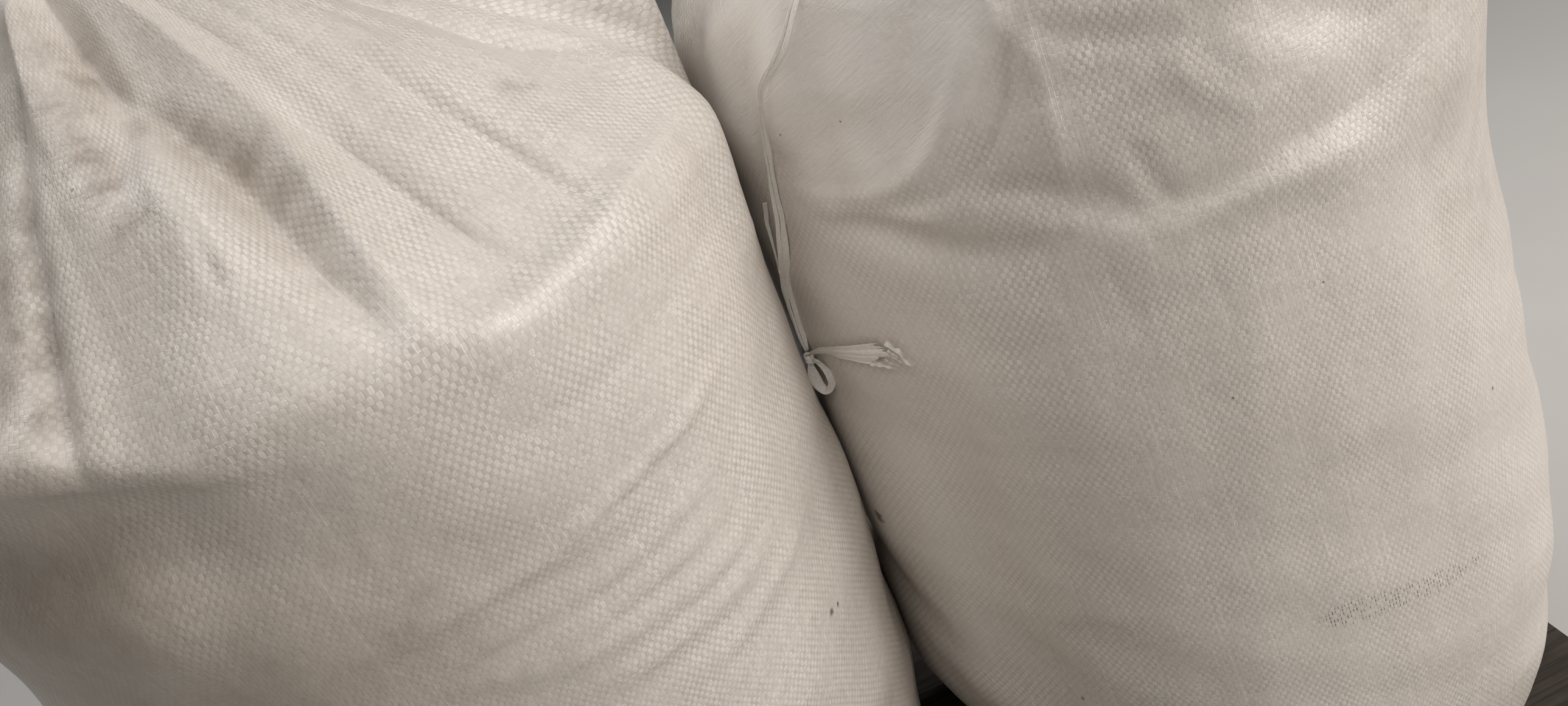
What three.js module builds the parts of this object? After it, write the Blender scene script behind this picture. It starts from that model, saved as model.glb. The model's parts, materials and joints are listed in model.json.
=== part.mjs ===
// Two filled woven sacks standing side by side on a small wooden pallet, each gathered and tied at
// its neck with film tape. A long doubled tail of the right sack's tape hangs down between them.
// Millimetres, +Z up, +X to the right along the pallet's length, +Y away from the viewer.
// The origin is on the floor, under the middle of the pallet.
import * as THREE from "three";

// Pallet: a half-size block pallet with nine blocks, two entries on each side
const PALLET_LENGTH = 800;
const PALLET_WIDTH = 600;
const BOARD_WIDTH = 100;
const BOARD_THICKNESS = 22;
const BLOCK_HEIGHT = 78;
const BLOCK_SIZE = 100;
const DECK_BOARDS = 5;
const BOARD_BEVEL = 3;
const DECK_TOP = 3 * BOARD_THICKNESS + BLOCK_HEIGHT;
const BLOCK_COLUMNS = [-1, 0, 1].map((side) => (side * (PALLET_LENGTH - BLOCK_SIZE)) / 2);
const BLOCK_ROWS = [-1, 0, 1].map((side) => (side * (PALLET_WIDTH - BLOCK_SIZE)) / 2);

// Sacks: a woven tube 650 wide when flat, so about 206 in radius when it is full
const SACK_RADIUS = 206;
const FOOT_RADIUS = 120;
const FOOT_HEIGHT = 190;
const FOOT_CURVE = 2.2;
const SEAT_GAP = 0.3;
const AROUND = 60;
const FOOT_RINGS = [0, 6, 20, 45, 80, 120, 160, 200];
const SQUEEZE = 3;
const SIDE_GAP = 0.3;

// Each sack's outline above its foot: height over the deck, then radius
const SACKS = {
  left: {
    foot: [-216, 12],
    lean: [0.026, -0.044],
    neckShift: [-35, 0],
    shiftFrom: 540,
    neckHeight: 742,
    side: -1,
    folds: 11,
    foldTurn: 0.35,
    outline: [
      [300, 206], [420, 206], [500, 205], [535, 203], [560, 197], [585, 180], [615, 152],
      [650, 112], [685, 70], [712, 38], [732, 25], [742, 25], [752, 25], [775, 34],
      [805, 46], [835, 58],
    ],
  },
  right: {
    foot: [216, -38],
    lean: [-0.027, 0.139],
    neckShift: [12, 0],
    shiftFrom: 480,
    neckHeight: 748,
    side: 1,
    folds: 12,
    foldTurn: 0.1,
    outline: [
      [300, 206], [420, 206], [458, 206], [480, 201], [515, 204], [550, 204], [590, 196],
      [625, 176], [660, 138], [695, 85], [720, 42], [738, 25], [748, 25], [758, 25],
      [782, 35], [812, 48], [842, 60],
    ],
  },
};
const NECK_HALF = 12;
const FOLD_DEPTH = 0.13;
const FOLDS_START = 520;
const RUFFLE_DEPTH = 0.2;
const MOUTH_DEPTH = 30;

// Tie: film tape wound in a band around each neck
const TIE_INNER = 25.5;
const TIE_OUTER = 31;
const TIE_HALF_HEIGHT = 7;
const TIE_EDGE = 2;

// Tail of the right tie: two strands of tape, a knot, a bow loop and a frayed end
const TAPE_WIDTH = 5;
const TAIL_ROUTE = [
  [184.6, 42.8, 891.8], [180, 38, 887], [176, 30.1, 867], [165.8, 18.2, 854.3],
  [145.4, -4.6, 834.3], [116.7, -36.7, 804.3], [94.8, -61.7, 774.3], [78, -71, 757],
  [60, -75.2, 741.4], [47.2, -79.8, 730.2], [34.8, -78.6, 712.9], [23, -69.9, 699.1],
  [18.8, -64.9, 687.3], [16.5, -56.8, 666.4], [13.7, -48.6, 642.7], [11.6, -45, 624.4],
  [7.2, -42.6, 605.4], [3.4, -34, 582.2], [1.9, -32, 561], [0.8, -35.2, 542.4],
];
const TAIL_STEPS = 72;
const KNOT_CENTRE = [0.5, -36.2, 538.4];
const KNOT_RADIUS = 3.7;
const LOOP_ROUTE = [[0.8, -36, 534.2], [1.2, -35.8, 527], [1.8, -35.8, 519], [2.5, -36.2, 511.5]];
const LOOP_WIDTH = 6;
const LOOP_STEPS = 5;
const END_ROUTE = [
  [2.8, -39.6, 539], [6, -49, 541.6], [10.1, -59, 545], [17.2, -75, 551.7],
  [25.7, -89.8, 557], [33.5, -102.3, 559.3], [39.4, -110, 556.5],
];
const END_WIDTH = 6;
const END_STEPS = 10;
const TUBE_SIDES = 8;

const wood = new THREE.MeshStandardMaterial({ color: 0x3d3027, roughness: 0.85, metalness: 0 });
const cloth = new THREE.MeshStandardMaterial({ color: 0xd9d0c3, roughness: 0.5, metalness: 0 });
const tape = new THREE.MeshStandardMaterial({ color: 0xe6e2da, roughness: 0.4, metalness: 0 });

const model = new THREE.Group();

function addMesh(parent, name, geometry, material) {
  const mesh = new THREE.Mesh(geometry, material);
  mesh.name = name;
  parent.add(mesh);
  return mesh;
}

// A board or block with bevelled long edges, its middle at the origin
function timber(length, width, thickness) {
  const x = width / 2;
  const y = thickness / 2;
  const b = BOARD_BEVEL;
  const corners = [[-x + b, -y], [x - b, -y], [x, -y + b], [x, y - b]];
  corners.push([x - b, y], [-x + b, y], [-x, y - b], [-x, -y + b]);
  const section = new THREE.Shape(corners.map(([u, v]) => new THREE.Vector2(u, v)));
  const solid = new THREE.ExtrudeGeometry(section, { depth: length, bevelEnabled: false });
  return solid.translate(0, 0, -length / 2).rotateX(Math.PI / 2).rotateZ(Math.PI / 2);
}

function placeTimber(parent, name, size, centre, turned) {
  const board = addMesh(parent, name, timber(...size), wood);
  board.position.set(...centre);
  board.rotation.z = turned ? Math.PI / 2 : 0;
}

function makePallet() {
  const pallet = new THREE.Group();
  const bottomZ = BOARD_THICKNESS / 2;
  const blockZ = BOARD_THICKNESS + BLOCK_HEIGHT / 2;
  const stringerZ = BOARD_THICKNESS + BLOCK_HEIGHT + BOARD_THICKNESS / 2;
  const deckZ = stringerZ + BOARD_THICKNESS;
  const long = [PALLET_LENGTH, BOARD_WIDTH, BOARD_THICKNESS];
  const short = [PALLET_WIDTH, BOARD_WIDTH, BOARD_THICKNESS];
  const cube = [BLOCK_SIZE, BLOCK_SIZE, BLOCK_HEIGHT];
  const deckPitch = (PALLET_WIDTH - BOARD_WIDTH) / (DECK_BOARDS - 1);
  for (let i = 0; i < DECK_BOARDS; i++) {
    const y = -(PALLET_WIDTH - BOARD_WIDTH) / 2 + i * deckPitch;
    placeTimber(pallet, `deck_board_${i + 1}`, long, [0, y, deckZ], false);
  }
  BLOCK_COLUMNS.forEach((x, i) => {
    placeTimber(pallet, `cross_board_${i + 1}`, short, [x, 0, stringerZ], true);
    BLOCK_ROWS.forEach((y, j) => {
      placeTimber(pallet, `block_${3 * i + j + 1}`, cube, [x, y, blockZ], false);
    });
  });
  BLOCK_ROWS.forEach((y, i) => {
    placeTimber(pallet, `bottom_board_${i + 1}`, long, [0, y, bottomZ], false);
  });
  return pallet;
}

const smooth = (t) => {
  const c = Math.min(Math.max(t, 0), 1);
  return c * c * (3 - 2 * c);
};

// Radius of the rounded foot at a height under FOOT_HEIGHT
function footRadius(z) {
  const rise = Math.max(1 - z / FOOT_HEIGHT, 0) ** FOOT_CURVE;
  return FOOT_RADIUS + (SACK_RADIUS - FOOT_RADIUS) * Math.sqrt(1 - rise);
}

// Middle of a sack at a height: it leans as a whole, its neck is drawn to one side, and the
// band under the tie stays upright
function sackMiddle(sack, height) {
  const z = Math.abs(height - sack.neckHeight) < NECK_HALF ? sack.neckHeight : height;
  const t = smooth((z - sack.shiftFrom) / (sack.neckHeight - sack.shiftFrom));
  return [0, 1].map((k) => sack.foot[k] + sack.lean[k] * z + sack.neckShift[k] * t);
}

// Share by which the gathered cloth's folds swell and sink the radius
function foldShare(sack, angle, z) {
  const fromNeck = Math.abs(z - sack.neckHeight) - NECK_HALF;
  if (fromNeck <= 0) return 0;
  const wave = Math.cos(sack.folds * angle + sack.foldTurn);
  if (z > sack.neckHeight) return RUFFLE_DEPTH * smooth(fromNeck / 40) * wave;
  const grows = smooth((z - FOLDS_START) / 110) * smooth(fromNeck / 30);
  return FOLD_DEPTH * grows * wave;
}

// The neighbour flattens the side that faces it: no point crosses the middle plane
function pressSide(sack, x) {
  const d = x * sack.side;
  return sack.side * (SIDE_GAP + 0.5 * (d + Math.hypot(d, SQUEEZE)));
}

function sackPoint(sack, angle, z, radius) {
  const [cx, cy] = sackMiddle(sack, z);
  const r = radius * (1 + foldShare(sack, angle, z));
  const x = cx + r * Math.cos(angle);
  return [pressSide(sack, x), cy + r * Math.sin(angle), DECK_TOP + SEAT_GAP + z];
}

// A closed skin over rings of points: a flat foot, the side, and a funnel-shaped mouth on top
function sackGeometry(sack) {
  const rings = FOOT_RINGS.filter((z) => z < FOOT_HEIGHT).map((z) => [z, footRadius(z)]);
  rings.push([FOOT_HEIGHT + 10, SACK_RADIUS], ...sack.outline);
  const points = [[...sackMiddle(sack, 0), DECK_TOP + SEAT_GAP]];
  for (const [z, radius] of rings) {
    for (let i = 0; i < AROUND; i++) {
      points.push(sackPoint(sack, (2 * Math.PI * i) / AROUND, z, radius));
    }
  }
  const topHeight = rings[rings.length - 1][0];
  const mouth = [...sackMiddle(sack, topHeight), DECK_TOP + topHeight - MOUTH_DEPTH];
  points.push(mouth);
  const faces = [];
  const at = (ring, i) => 1 + ring * AROUND + (i % AROUND);
  for (let i = 0; i < AROUND; i++) {
    faces.push(0, at(0, i + 1), at(0, i));
    for (let ring = 0; ring + 1 < rings.length; ring++) {
      faces.push(at(ring, i), at(ring, i + 1), at(ring + 1, i + 1));
      faces.push(at(ring, i), at(ring + 1, i + 1), at(ring + 1, i));
    }
    faces.push(at(rings.length - 1, i), at(rings.length - 1, i + 1), points.length - 1);
  }
  const geometry = new THREE.BufferGeometry();
  geometry.setAttribute("position", new THREE.Float32BufferAttribute(points.flat(), 3));
  geometry.setIndex(faces);
  geometry.computeVertexNormals();
  return geometry;
}

// A flat-sided ring with eased corners, its middle at the origin
function tieGeometry() {
  const e = TIE_EDGE;
  const outline = [
    [TIE_INNER, -TIE_HALF_HEIGHT], [TIE_OUTER - e, -TIE_HALF_HEIGHT],
    [TIE_OUTER, -TIE_HALF_HEIGHT + e], [TIE_OUTER, TIE_HALF_HEIGHT - e],
    [TIE_OUTER - e, TIE_HALF_HEIGHT], [TIE_INNER, TIE_HALF_HEIGHT],
    [TIE_INNER, -TIE_HALF_HEIGHT],
  ];
  const profile = outline.map(([r, z]) => new THREE.Vector2(r, z));
  return new THREE.LatheGeometry(profile, AROUND).rotateX(Math.PI / 2);
}

function makeTie(name, sack) {
  const tie = addMesh(model, name, tieGeometry(), tape);
  const [x, y] = sackMiddle(sack, sack.neckHeight);
  tie.position.set(x, y, DECK_TOP + sack.neckHeight);
}

// A round-sided strand along points
function strand(route, width, steps) {
  const curve = new THREE.CatmullRomCurve3(route.map((p) => new THREE.Vector3(...p)));
  const section = new THREE.Shape();
  for (let i = 0; i < TUBE_SIDES; i++) {
    const angle = (2 * Math.PI * i) / TUBE_SIDES;
    const put = i ? section.lineTo : section.moveTo;
    put.call(section, (width / 2) * Math.cos(angle), (width / 2) * Math.sin(angle));
  }
  return new THREE.ExtrudeGeometry(section, { steps, extrudePath: curve, bevelEnabled: false });
}

model.add(makePallet());
addMesh(model, "sack_left", sackGeometry(SACKS.left), cloth);
addMesh(model, "sack_right", sackGeometry(SACKS.right), cloth);
makeTie("tie_left", SACKS.left);
makeTie("tie_right", SACKS.right);
addMesh(model, "tape_tail", strand(TAIL_ROUTE, TAPE_WIDTH, TAIL_STEPS), tape);
const knot = addMesh(model, "tail_knot", new THREE.IcosahedronGeometry(KNOT_RADIUS, 1), tape);
knot.position.set(...KNOT_CENTRE);
addMesh(model, "tail_loop", strand(LOOP_ROUTE, LOOP_WIDTH, LOOP_STEPS), tape);
addMesh(model, "tail_end", strand(END_ROUTE, END_WIDTH, END_STEPS), tape);

export default model;
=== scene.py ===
# Two filled woven sacks on a small wooden pallet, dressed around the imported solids.
# Shapes are worked out in millimetres and put into the meshes in metres.
import json

import bpy
import numpy as np
from mathutils import Matrix, Vector

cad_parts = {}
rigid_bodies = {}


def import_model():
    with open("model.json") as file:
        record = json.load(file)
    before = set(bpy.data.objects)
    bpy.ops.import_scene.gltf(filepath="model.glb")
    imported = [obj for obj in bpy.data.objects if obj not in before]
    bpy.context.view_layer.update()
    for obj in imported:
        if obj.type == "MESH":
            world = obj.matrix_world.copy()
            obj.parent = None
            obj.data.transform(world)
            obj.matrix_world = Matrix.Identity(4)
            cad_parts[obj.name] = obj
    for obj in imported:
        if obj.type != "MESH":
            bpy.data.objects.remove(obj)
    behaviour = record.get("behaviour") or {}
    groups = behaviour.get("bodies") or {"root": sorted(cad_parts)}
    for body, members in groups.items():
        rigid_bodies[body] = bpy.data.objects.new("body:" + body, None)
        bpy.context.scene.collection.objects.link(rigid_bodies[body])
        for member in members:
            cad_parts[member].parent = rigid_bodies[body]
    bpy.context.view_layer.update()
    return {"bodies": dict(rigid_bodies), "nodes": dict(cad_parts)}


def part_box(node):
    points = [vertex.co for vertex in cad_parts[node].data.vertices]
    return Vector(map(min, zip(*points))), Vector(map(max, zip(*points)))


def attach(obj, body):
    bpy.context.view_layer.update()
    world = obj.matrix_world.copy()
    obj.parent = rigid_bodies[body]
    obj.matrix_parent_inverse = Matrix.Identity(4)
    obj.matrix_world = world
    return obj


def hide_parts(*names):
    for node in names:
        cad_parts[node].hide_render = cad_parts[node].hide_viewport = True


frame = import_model()
BODY = next(iter(frame["bodies"]))

MM = 0.001
DECK_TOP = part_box("deck_board_3")[1][2] / MM
SEAT_GAP = 0.3

# Camera: a phone held over the front edge, looking down and turned to one side
CAMERA_PLACE = (-64.1, -573.1, 848.7)
CAMERA_YAW = 0.0977
CAMERA_PITCH = 0.5087
CAMERA_ROLL = 0.3885
CAMERA_LENS = 26.0
CAMERA_SENSOR = 36.0
CAMERA_NEAREST = 10
# The way from the tail towards the viewer, across which its flat strands are spread
FACING = np.array([-0.0852, -0.8692, 0.487])

# Sacks: heights are over the deck, angles in degrees from +X, with 270 facing the viewer
SACK_RADIUS = 206
FOOT_RADIUS = 120
FOOT_HEIGHT = 190
FOOT_CURVE = 2.2
FLAT_FOOT = 60
FLOOR_RINGS = (12, 60, 112)
SQUEEZE = 3
SIDE_GAP = 0.3
NECK_HALF = 12
SHOULDER_HEIGHT = 562
TAPE_PITCH = 2.5
CLOTH_THICKNESS = 1.2
# Mesh: points round a sack and rows up it, crowded to the front and to the folds by
# (height, row spacing), and the points on a fold's path and on each span of a curve
COLUMNS = 384
ROWS = 236
LIP_ROWS = 22
FRONT_CROWDING = 0.3
ROW_SPACING = [(0, 12), (1, 5), (60, 5), (150, 4.6), (420, 4.2), (470, 2.8), (860, 2.8)]
FOLD_POINTS = 28
SPAN_STEPS = 40
# How many gathers run down from a neck, how many creases lie on a sack, and how many waves make
# it uneven for each (height, shortest, longest wave)
GATHERS = 26
CREASES = 34
WAVES = 14
UNEVEN_WAVES = [(1.8, 120, 300), (0.5, 40, 90)]
# Corners of the foot, and the waves of the open mouth
EAR_REACH = 30
EAR_HEIGHT = 30
RUFFLES = 12
RUFFLE_REACH = 21
RUFFLE_RISE = 80
# Folds: sharpness, then points of (angle, height, depth, width)
LEFT_FOLDS = [
    # Cone and shoulder
    (1.1, [(263, 690, -1, 4), (261, 676, -3, 5), (256.4, 660, -6, 5), (254, 640, -7, 5),
           (253.8, 621, -8, 5), (252.6, 605, -9, 5), (252.6, 588, -8, 5), (253, 572, -4, 5),
           (253.4, 560, 0, 5)]),
    (2, [(252, 705, 0, 10), (247, 680, -6, 16), (243, 650, -12, 22), (241, 620, -14, 24),
         (240, 595, -10, 24), (239, 575, 0, 20)]),
    (1.5, [(267, 706, 2, 4), (264, 690, 6, 5), (262, 674, 4, 6), (259, 655, 0, 7)]),
    (1.6, [(285, 690, 1, 5), (282.4, 668, 2.5, 6), (280.2, 652, 4.2, 7), (279.2, 641, 5, 9),
           (278.2, 628, 5, 11), (277.4, 612, 4.4, 14), (278, 590, 1.5, 16), (278, 570, 0, 18)]),
    (1.2, [(276.6, 618, 0, 3), (275.8, 610, -1.8, 3), (275.3, 603, -2, 3), (276.2, 597, 0, 3)]),
    (1.6, [(274.6, 702, -8, 7), (276.6, 688, -10.5, 9.5), (278.6, 673, -12, 11.5),
           (280.8, 656, -12.5, 12), (283, 641, -12, 12), (284.6, 626, -12, 11.5), (285, 610, -11, 10.5),
           (284.6, 591, -9, 8.5), (285, 574, -6, 6.5), (285.6, 562, 0, 5)]),
    (1.4, [(280.4, 668, 0, 4), (283.8, 650, -2.6, 4.5), (285.8, 636, -3.4, 5), (286.2, 624, -3, 5),
           (285.8, 608, -2, 4.6), (285, 590, -1.2, 4.4), (285.2, 574, 0, 4)]),
    (2, [(276, 694, 0, 8), (275.6, 674, -4, 9), (274.5, 657, -6, 10), (272.5, 645, -5.5, 10),
         (271, 632, -3, 10), (270, 617, 0, 10)]),
    (1.3, [(291, 700, 1, 4), (295.6, 678, 3.6, 5), (295.4, 655, 5.6, 6.5), (295, 635, 6.6, 7),
           (291.6, 610, 6.6, 7), (289.6, 584, 5, 6.5), (289.2, 567, 2, 6), (290, 556, 0, 6)]),
    (1.3, [(299.2, 636, 0, 3), (299.4, 627, -1.6, 3), (300.6, 618, -3.6, 3.2), (300.4, 603, -5.2, 3.6),
           (300.5, 589, -5.8, 3.8), (300.7, 577, -5.2, 3.8), (301.6, 566, -2.8, 3.4), (303, 561, 0, 3)]),
    (1.3, [(306, 668, 0, 4), (305.5, 640, 1.4, 4.4), (304.8, 612, 2, 5), (305, 590, 2, 5),
           (306.4, 570, 0, 5)]),
    (1.4, [(285, 563, 0, 8), (289, 557, 4, 9), (294, 551, 6, 9), (298, 550, 6.2, 8.5),
           (305, 552, 5.8, 8.5), (313, 556, 5.4, 8.5), (322, 560, 5, 8.5), (334, 560, 3.8, 9),
           (346, 561, 0, 9)]),
    (2, [(353, 648, 0, 16), (352, 622, 5, 18), (351, 600, 8, 20), (349, 575, 9, 20), (345, 550, 8, 20),
         (342, 525, 6, 20), (341, 500, 3.5, 18), (341, 478, 0, 16)]),
    (2, [(14, 655, 0, 18), (12, 634, 10, 22), (10, 614, 18, 25), (7, 596, 18, 24), (3, 578, 10, 18),
         (358, 562, 0, 14)]),
    (2, [(258, 573, 0, 16), (266, 573, 3.5, 18), (276, 574, 5.5, 18), (284, 569, 4.5, 17),
         (292, 563, 2, 14), (299, 558, 0, 12)]),
    (2, [(258, 540, 0, 20), (266, 540, 3, 22), (276, 540, 4.5, 24), (286, 538, 4, 24), (296, 534, 2, 22),
         (304, 532, 0, 20)]),
    (1.2, [(319, 648, 0, 3), (318, 635, -1.4, 3), (316.6, 623, -3.2, 3.4), (316, 606, -6, 4.2),
           (315.9, 594, -6.4, 4.4), (315.2, 581, -5.4, 4.2), (314.2, 567, -3.2, 3.8), (313.8, 556, 0, 3)]),
    (1.2, [(321.6, 624, 0, 3), (320.8, 612, -1.8, 3), (320.1, 598, -3.2, 3.2), (320, 581, -3, 3.2),
           (320.8, 566, -2, 3), (322.5, 555, 0, 3)]),
    (1.3, [(323, 652, 0, 4), (322, 632, 1.8, 4), (318.9, 610, 2, 3), (318.6, 592, 1.8, 3),
           (318, 574, 0, 3)]),
    (1.3, [(341.5, 664, 0, 4), (341.9, 650, -3, 4), (343.6, 638, -4.4, 4.2), (343, 626, -5, 4.4),
           (344, 614, -5, 4.4), (347.6, 598, -4, 4), (352, 584, -2.4, 3.6), (356, 574, 0, 3)]),
    (1.3, [(331, 655, 0, 5), (332, 632, 2, 7), (333, 610, 2.4, 8), (335, 590, 0, 8)]),
    (1.2, [(352, 655, 0, 3), (353.6, 635, -2, 3.4), (358.4, 617, -2.4, 3.4), (1.2, 601, -2.2, 3.4),
           (2.6, 584, 0, 3)]),
    (1.2, [(297.5, 702, 0, 2.6), (302, 684, -1.8, 2.6), (304.5, 662, -1.8, 2.6), (306, 646, 0, 2.6)]),
    (1.2, [(310, 690, 0, 2.6), (311.5, 672, -1.6, 2.6), (312, 650, -1.8, 2.6), (311.5, 628, 0, 2.6)]),
    (1.2, [(327, 694, 0, 3), (327, 676, -1.8, 3), (328, 654, -1.6, 3), (328.6, 636, 0, 3)]),
    # Belly
    (2.6, [(212, 536, 0, 26), (228, 538, -12, 28), (240, 541, -15, 29), (249, 543, -14, 27),
           (256, 536, -11, 25), (264, 524, -6, 24), (274, 512, 0, 22)]),
    (1.5, [(222, 580, 0, 10), (234, 580, 2.4, 10), (246, 578, 3.2, 10), (253, 570, 3.6, 10),
           (260, 560, 4.4, 10), (264, 552, 3, 10), (271, 545, 0, 11)]),
    (1.2, [(257, 551, 0, 3), (262.1, 547, -2, 4), (267.4, 543, -2, 4), (273, 540, 0, 3)]),
    (1.2, [(281, 458, 0, 3), (287, 461, 2.4, 2.8), (292, 463.5, 3.4, 2.8), (299, 467, 3.4, 2.8),
           (304, 470, 3, 2.8), (311, 474, 2.4, 3), (320, 479, 0, 3)]),
    (1.2, [(260, 450, 0, 3), (270, 458, 1.6, 2.8), (280, 460, 2, 2.8), (290, 456, 1.8, 2.8),
           (297, 455, 1.8, 2.8), (306, 459, 0, 3)]),
    (1.2, [(266, 441, 0, 3), (275, 440, 1.8, 2.8), (283, 440, 2.2, 2.8), (293, 436, 2.6, 2.8),
           (303, 440, 2, 2.8), (313, 445, 0, 3)]),
    (1.2, [(270, 428, 0, 3), (278, 426, 1.8, 2.8), (287, 421, 2.8, 2.8), (296, 421, 3.2, 2.8),
           (304, 422, 2, 2.8), (314, 427, 0, 3)]),
    (1.2, [(268, 436, 0, 3), (277, 421, 2, 3.4), (285, 411, 2.7, 3.6), (296, 404, 3.3, 3.6),
           (306, 402, 2.8, 3.6), (317, 406, 0, 3)]),
    (1.3, [(280, 391, 0, 3), (292, 386, 2.7, 3.6), (305, 384, 2.7, 3.6), (319, 388, 0, 3)]),
    (1.3, [(288, 365, 0, 3), (302, 362, 2.4, 3.6), (314, 364, 2.4, 3.6), (327, 370, 0, 3)]),
    # Back
    (1.6, [(52, 660, 0, 7), (54, 628, -3.5, 9), (55, 600, -5, 11), (54, 570, -2.5, 14), (53, 540, 0, 16)]),
    (1.6, [(92, 655, 0, 7), (90, 622, -3, 9), (89, 596, -4.5, 12), (90, 566, -3, 15), (91, 530, 0, 18)]),
    (1.6, [(128, 650, 0, 7), (131, 615, -3.5, 9), (132, 590, -5, 11), (131, 560, -2, 14),
           (130, 535, 0, 16)]),
    (1.6, [(176, 640, 0, 7), (174, 606, -3, 9), (172, 580, -4.5, 12), (173, 552, -2.5, 15),
           (175, 520, 0, 18)]),
    (1.6, [(214, 630, 0, 7), (213, 600, -2.5, 8), (212, 575, -3.5, 10), (213, 550, 0, 12)]),
    (2, [(70, 520, 0, 16), (85, 512, -3, 18), (105, 508, -4, 20), (125, 514, -2.5, 18), (140, 520, 0, 16)]),
    (2, [(150, 505, 0, 16), (165, 498, -3, 18), (185, 500, -3.5, 18), (200, 508, 0, 16)]),
]
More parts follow.
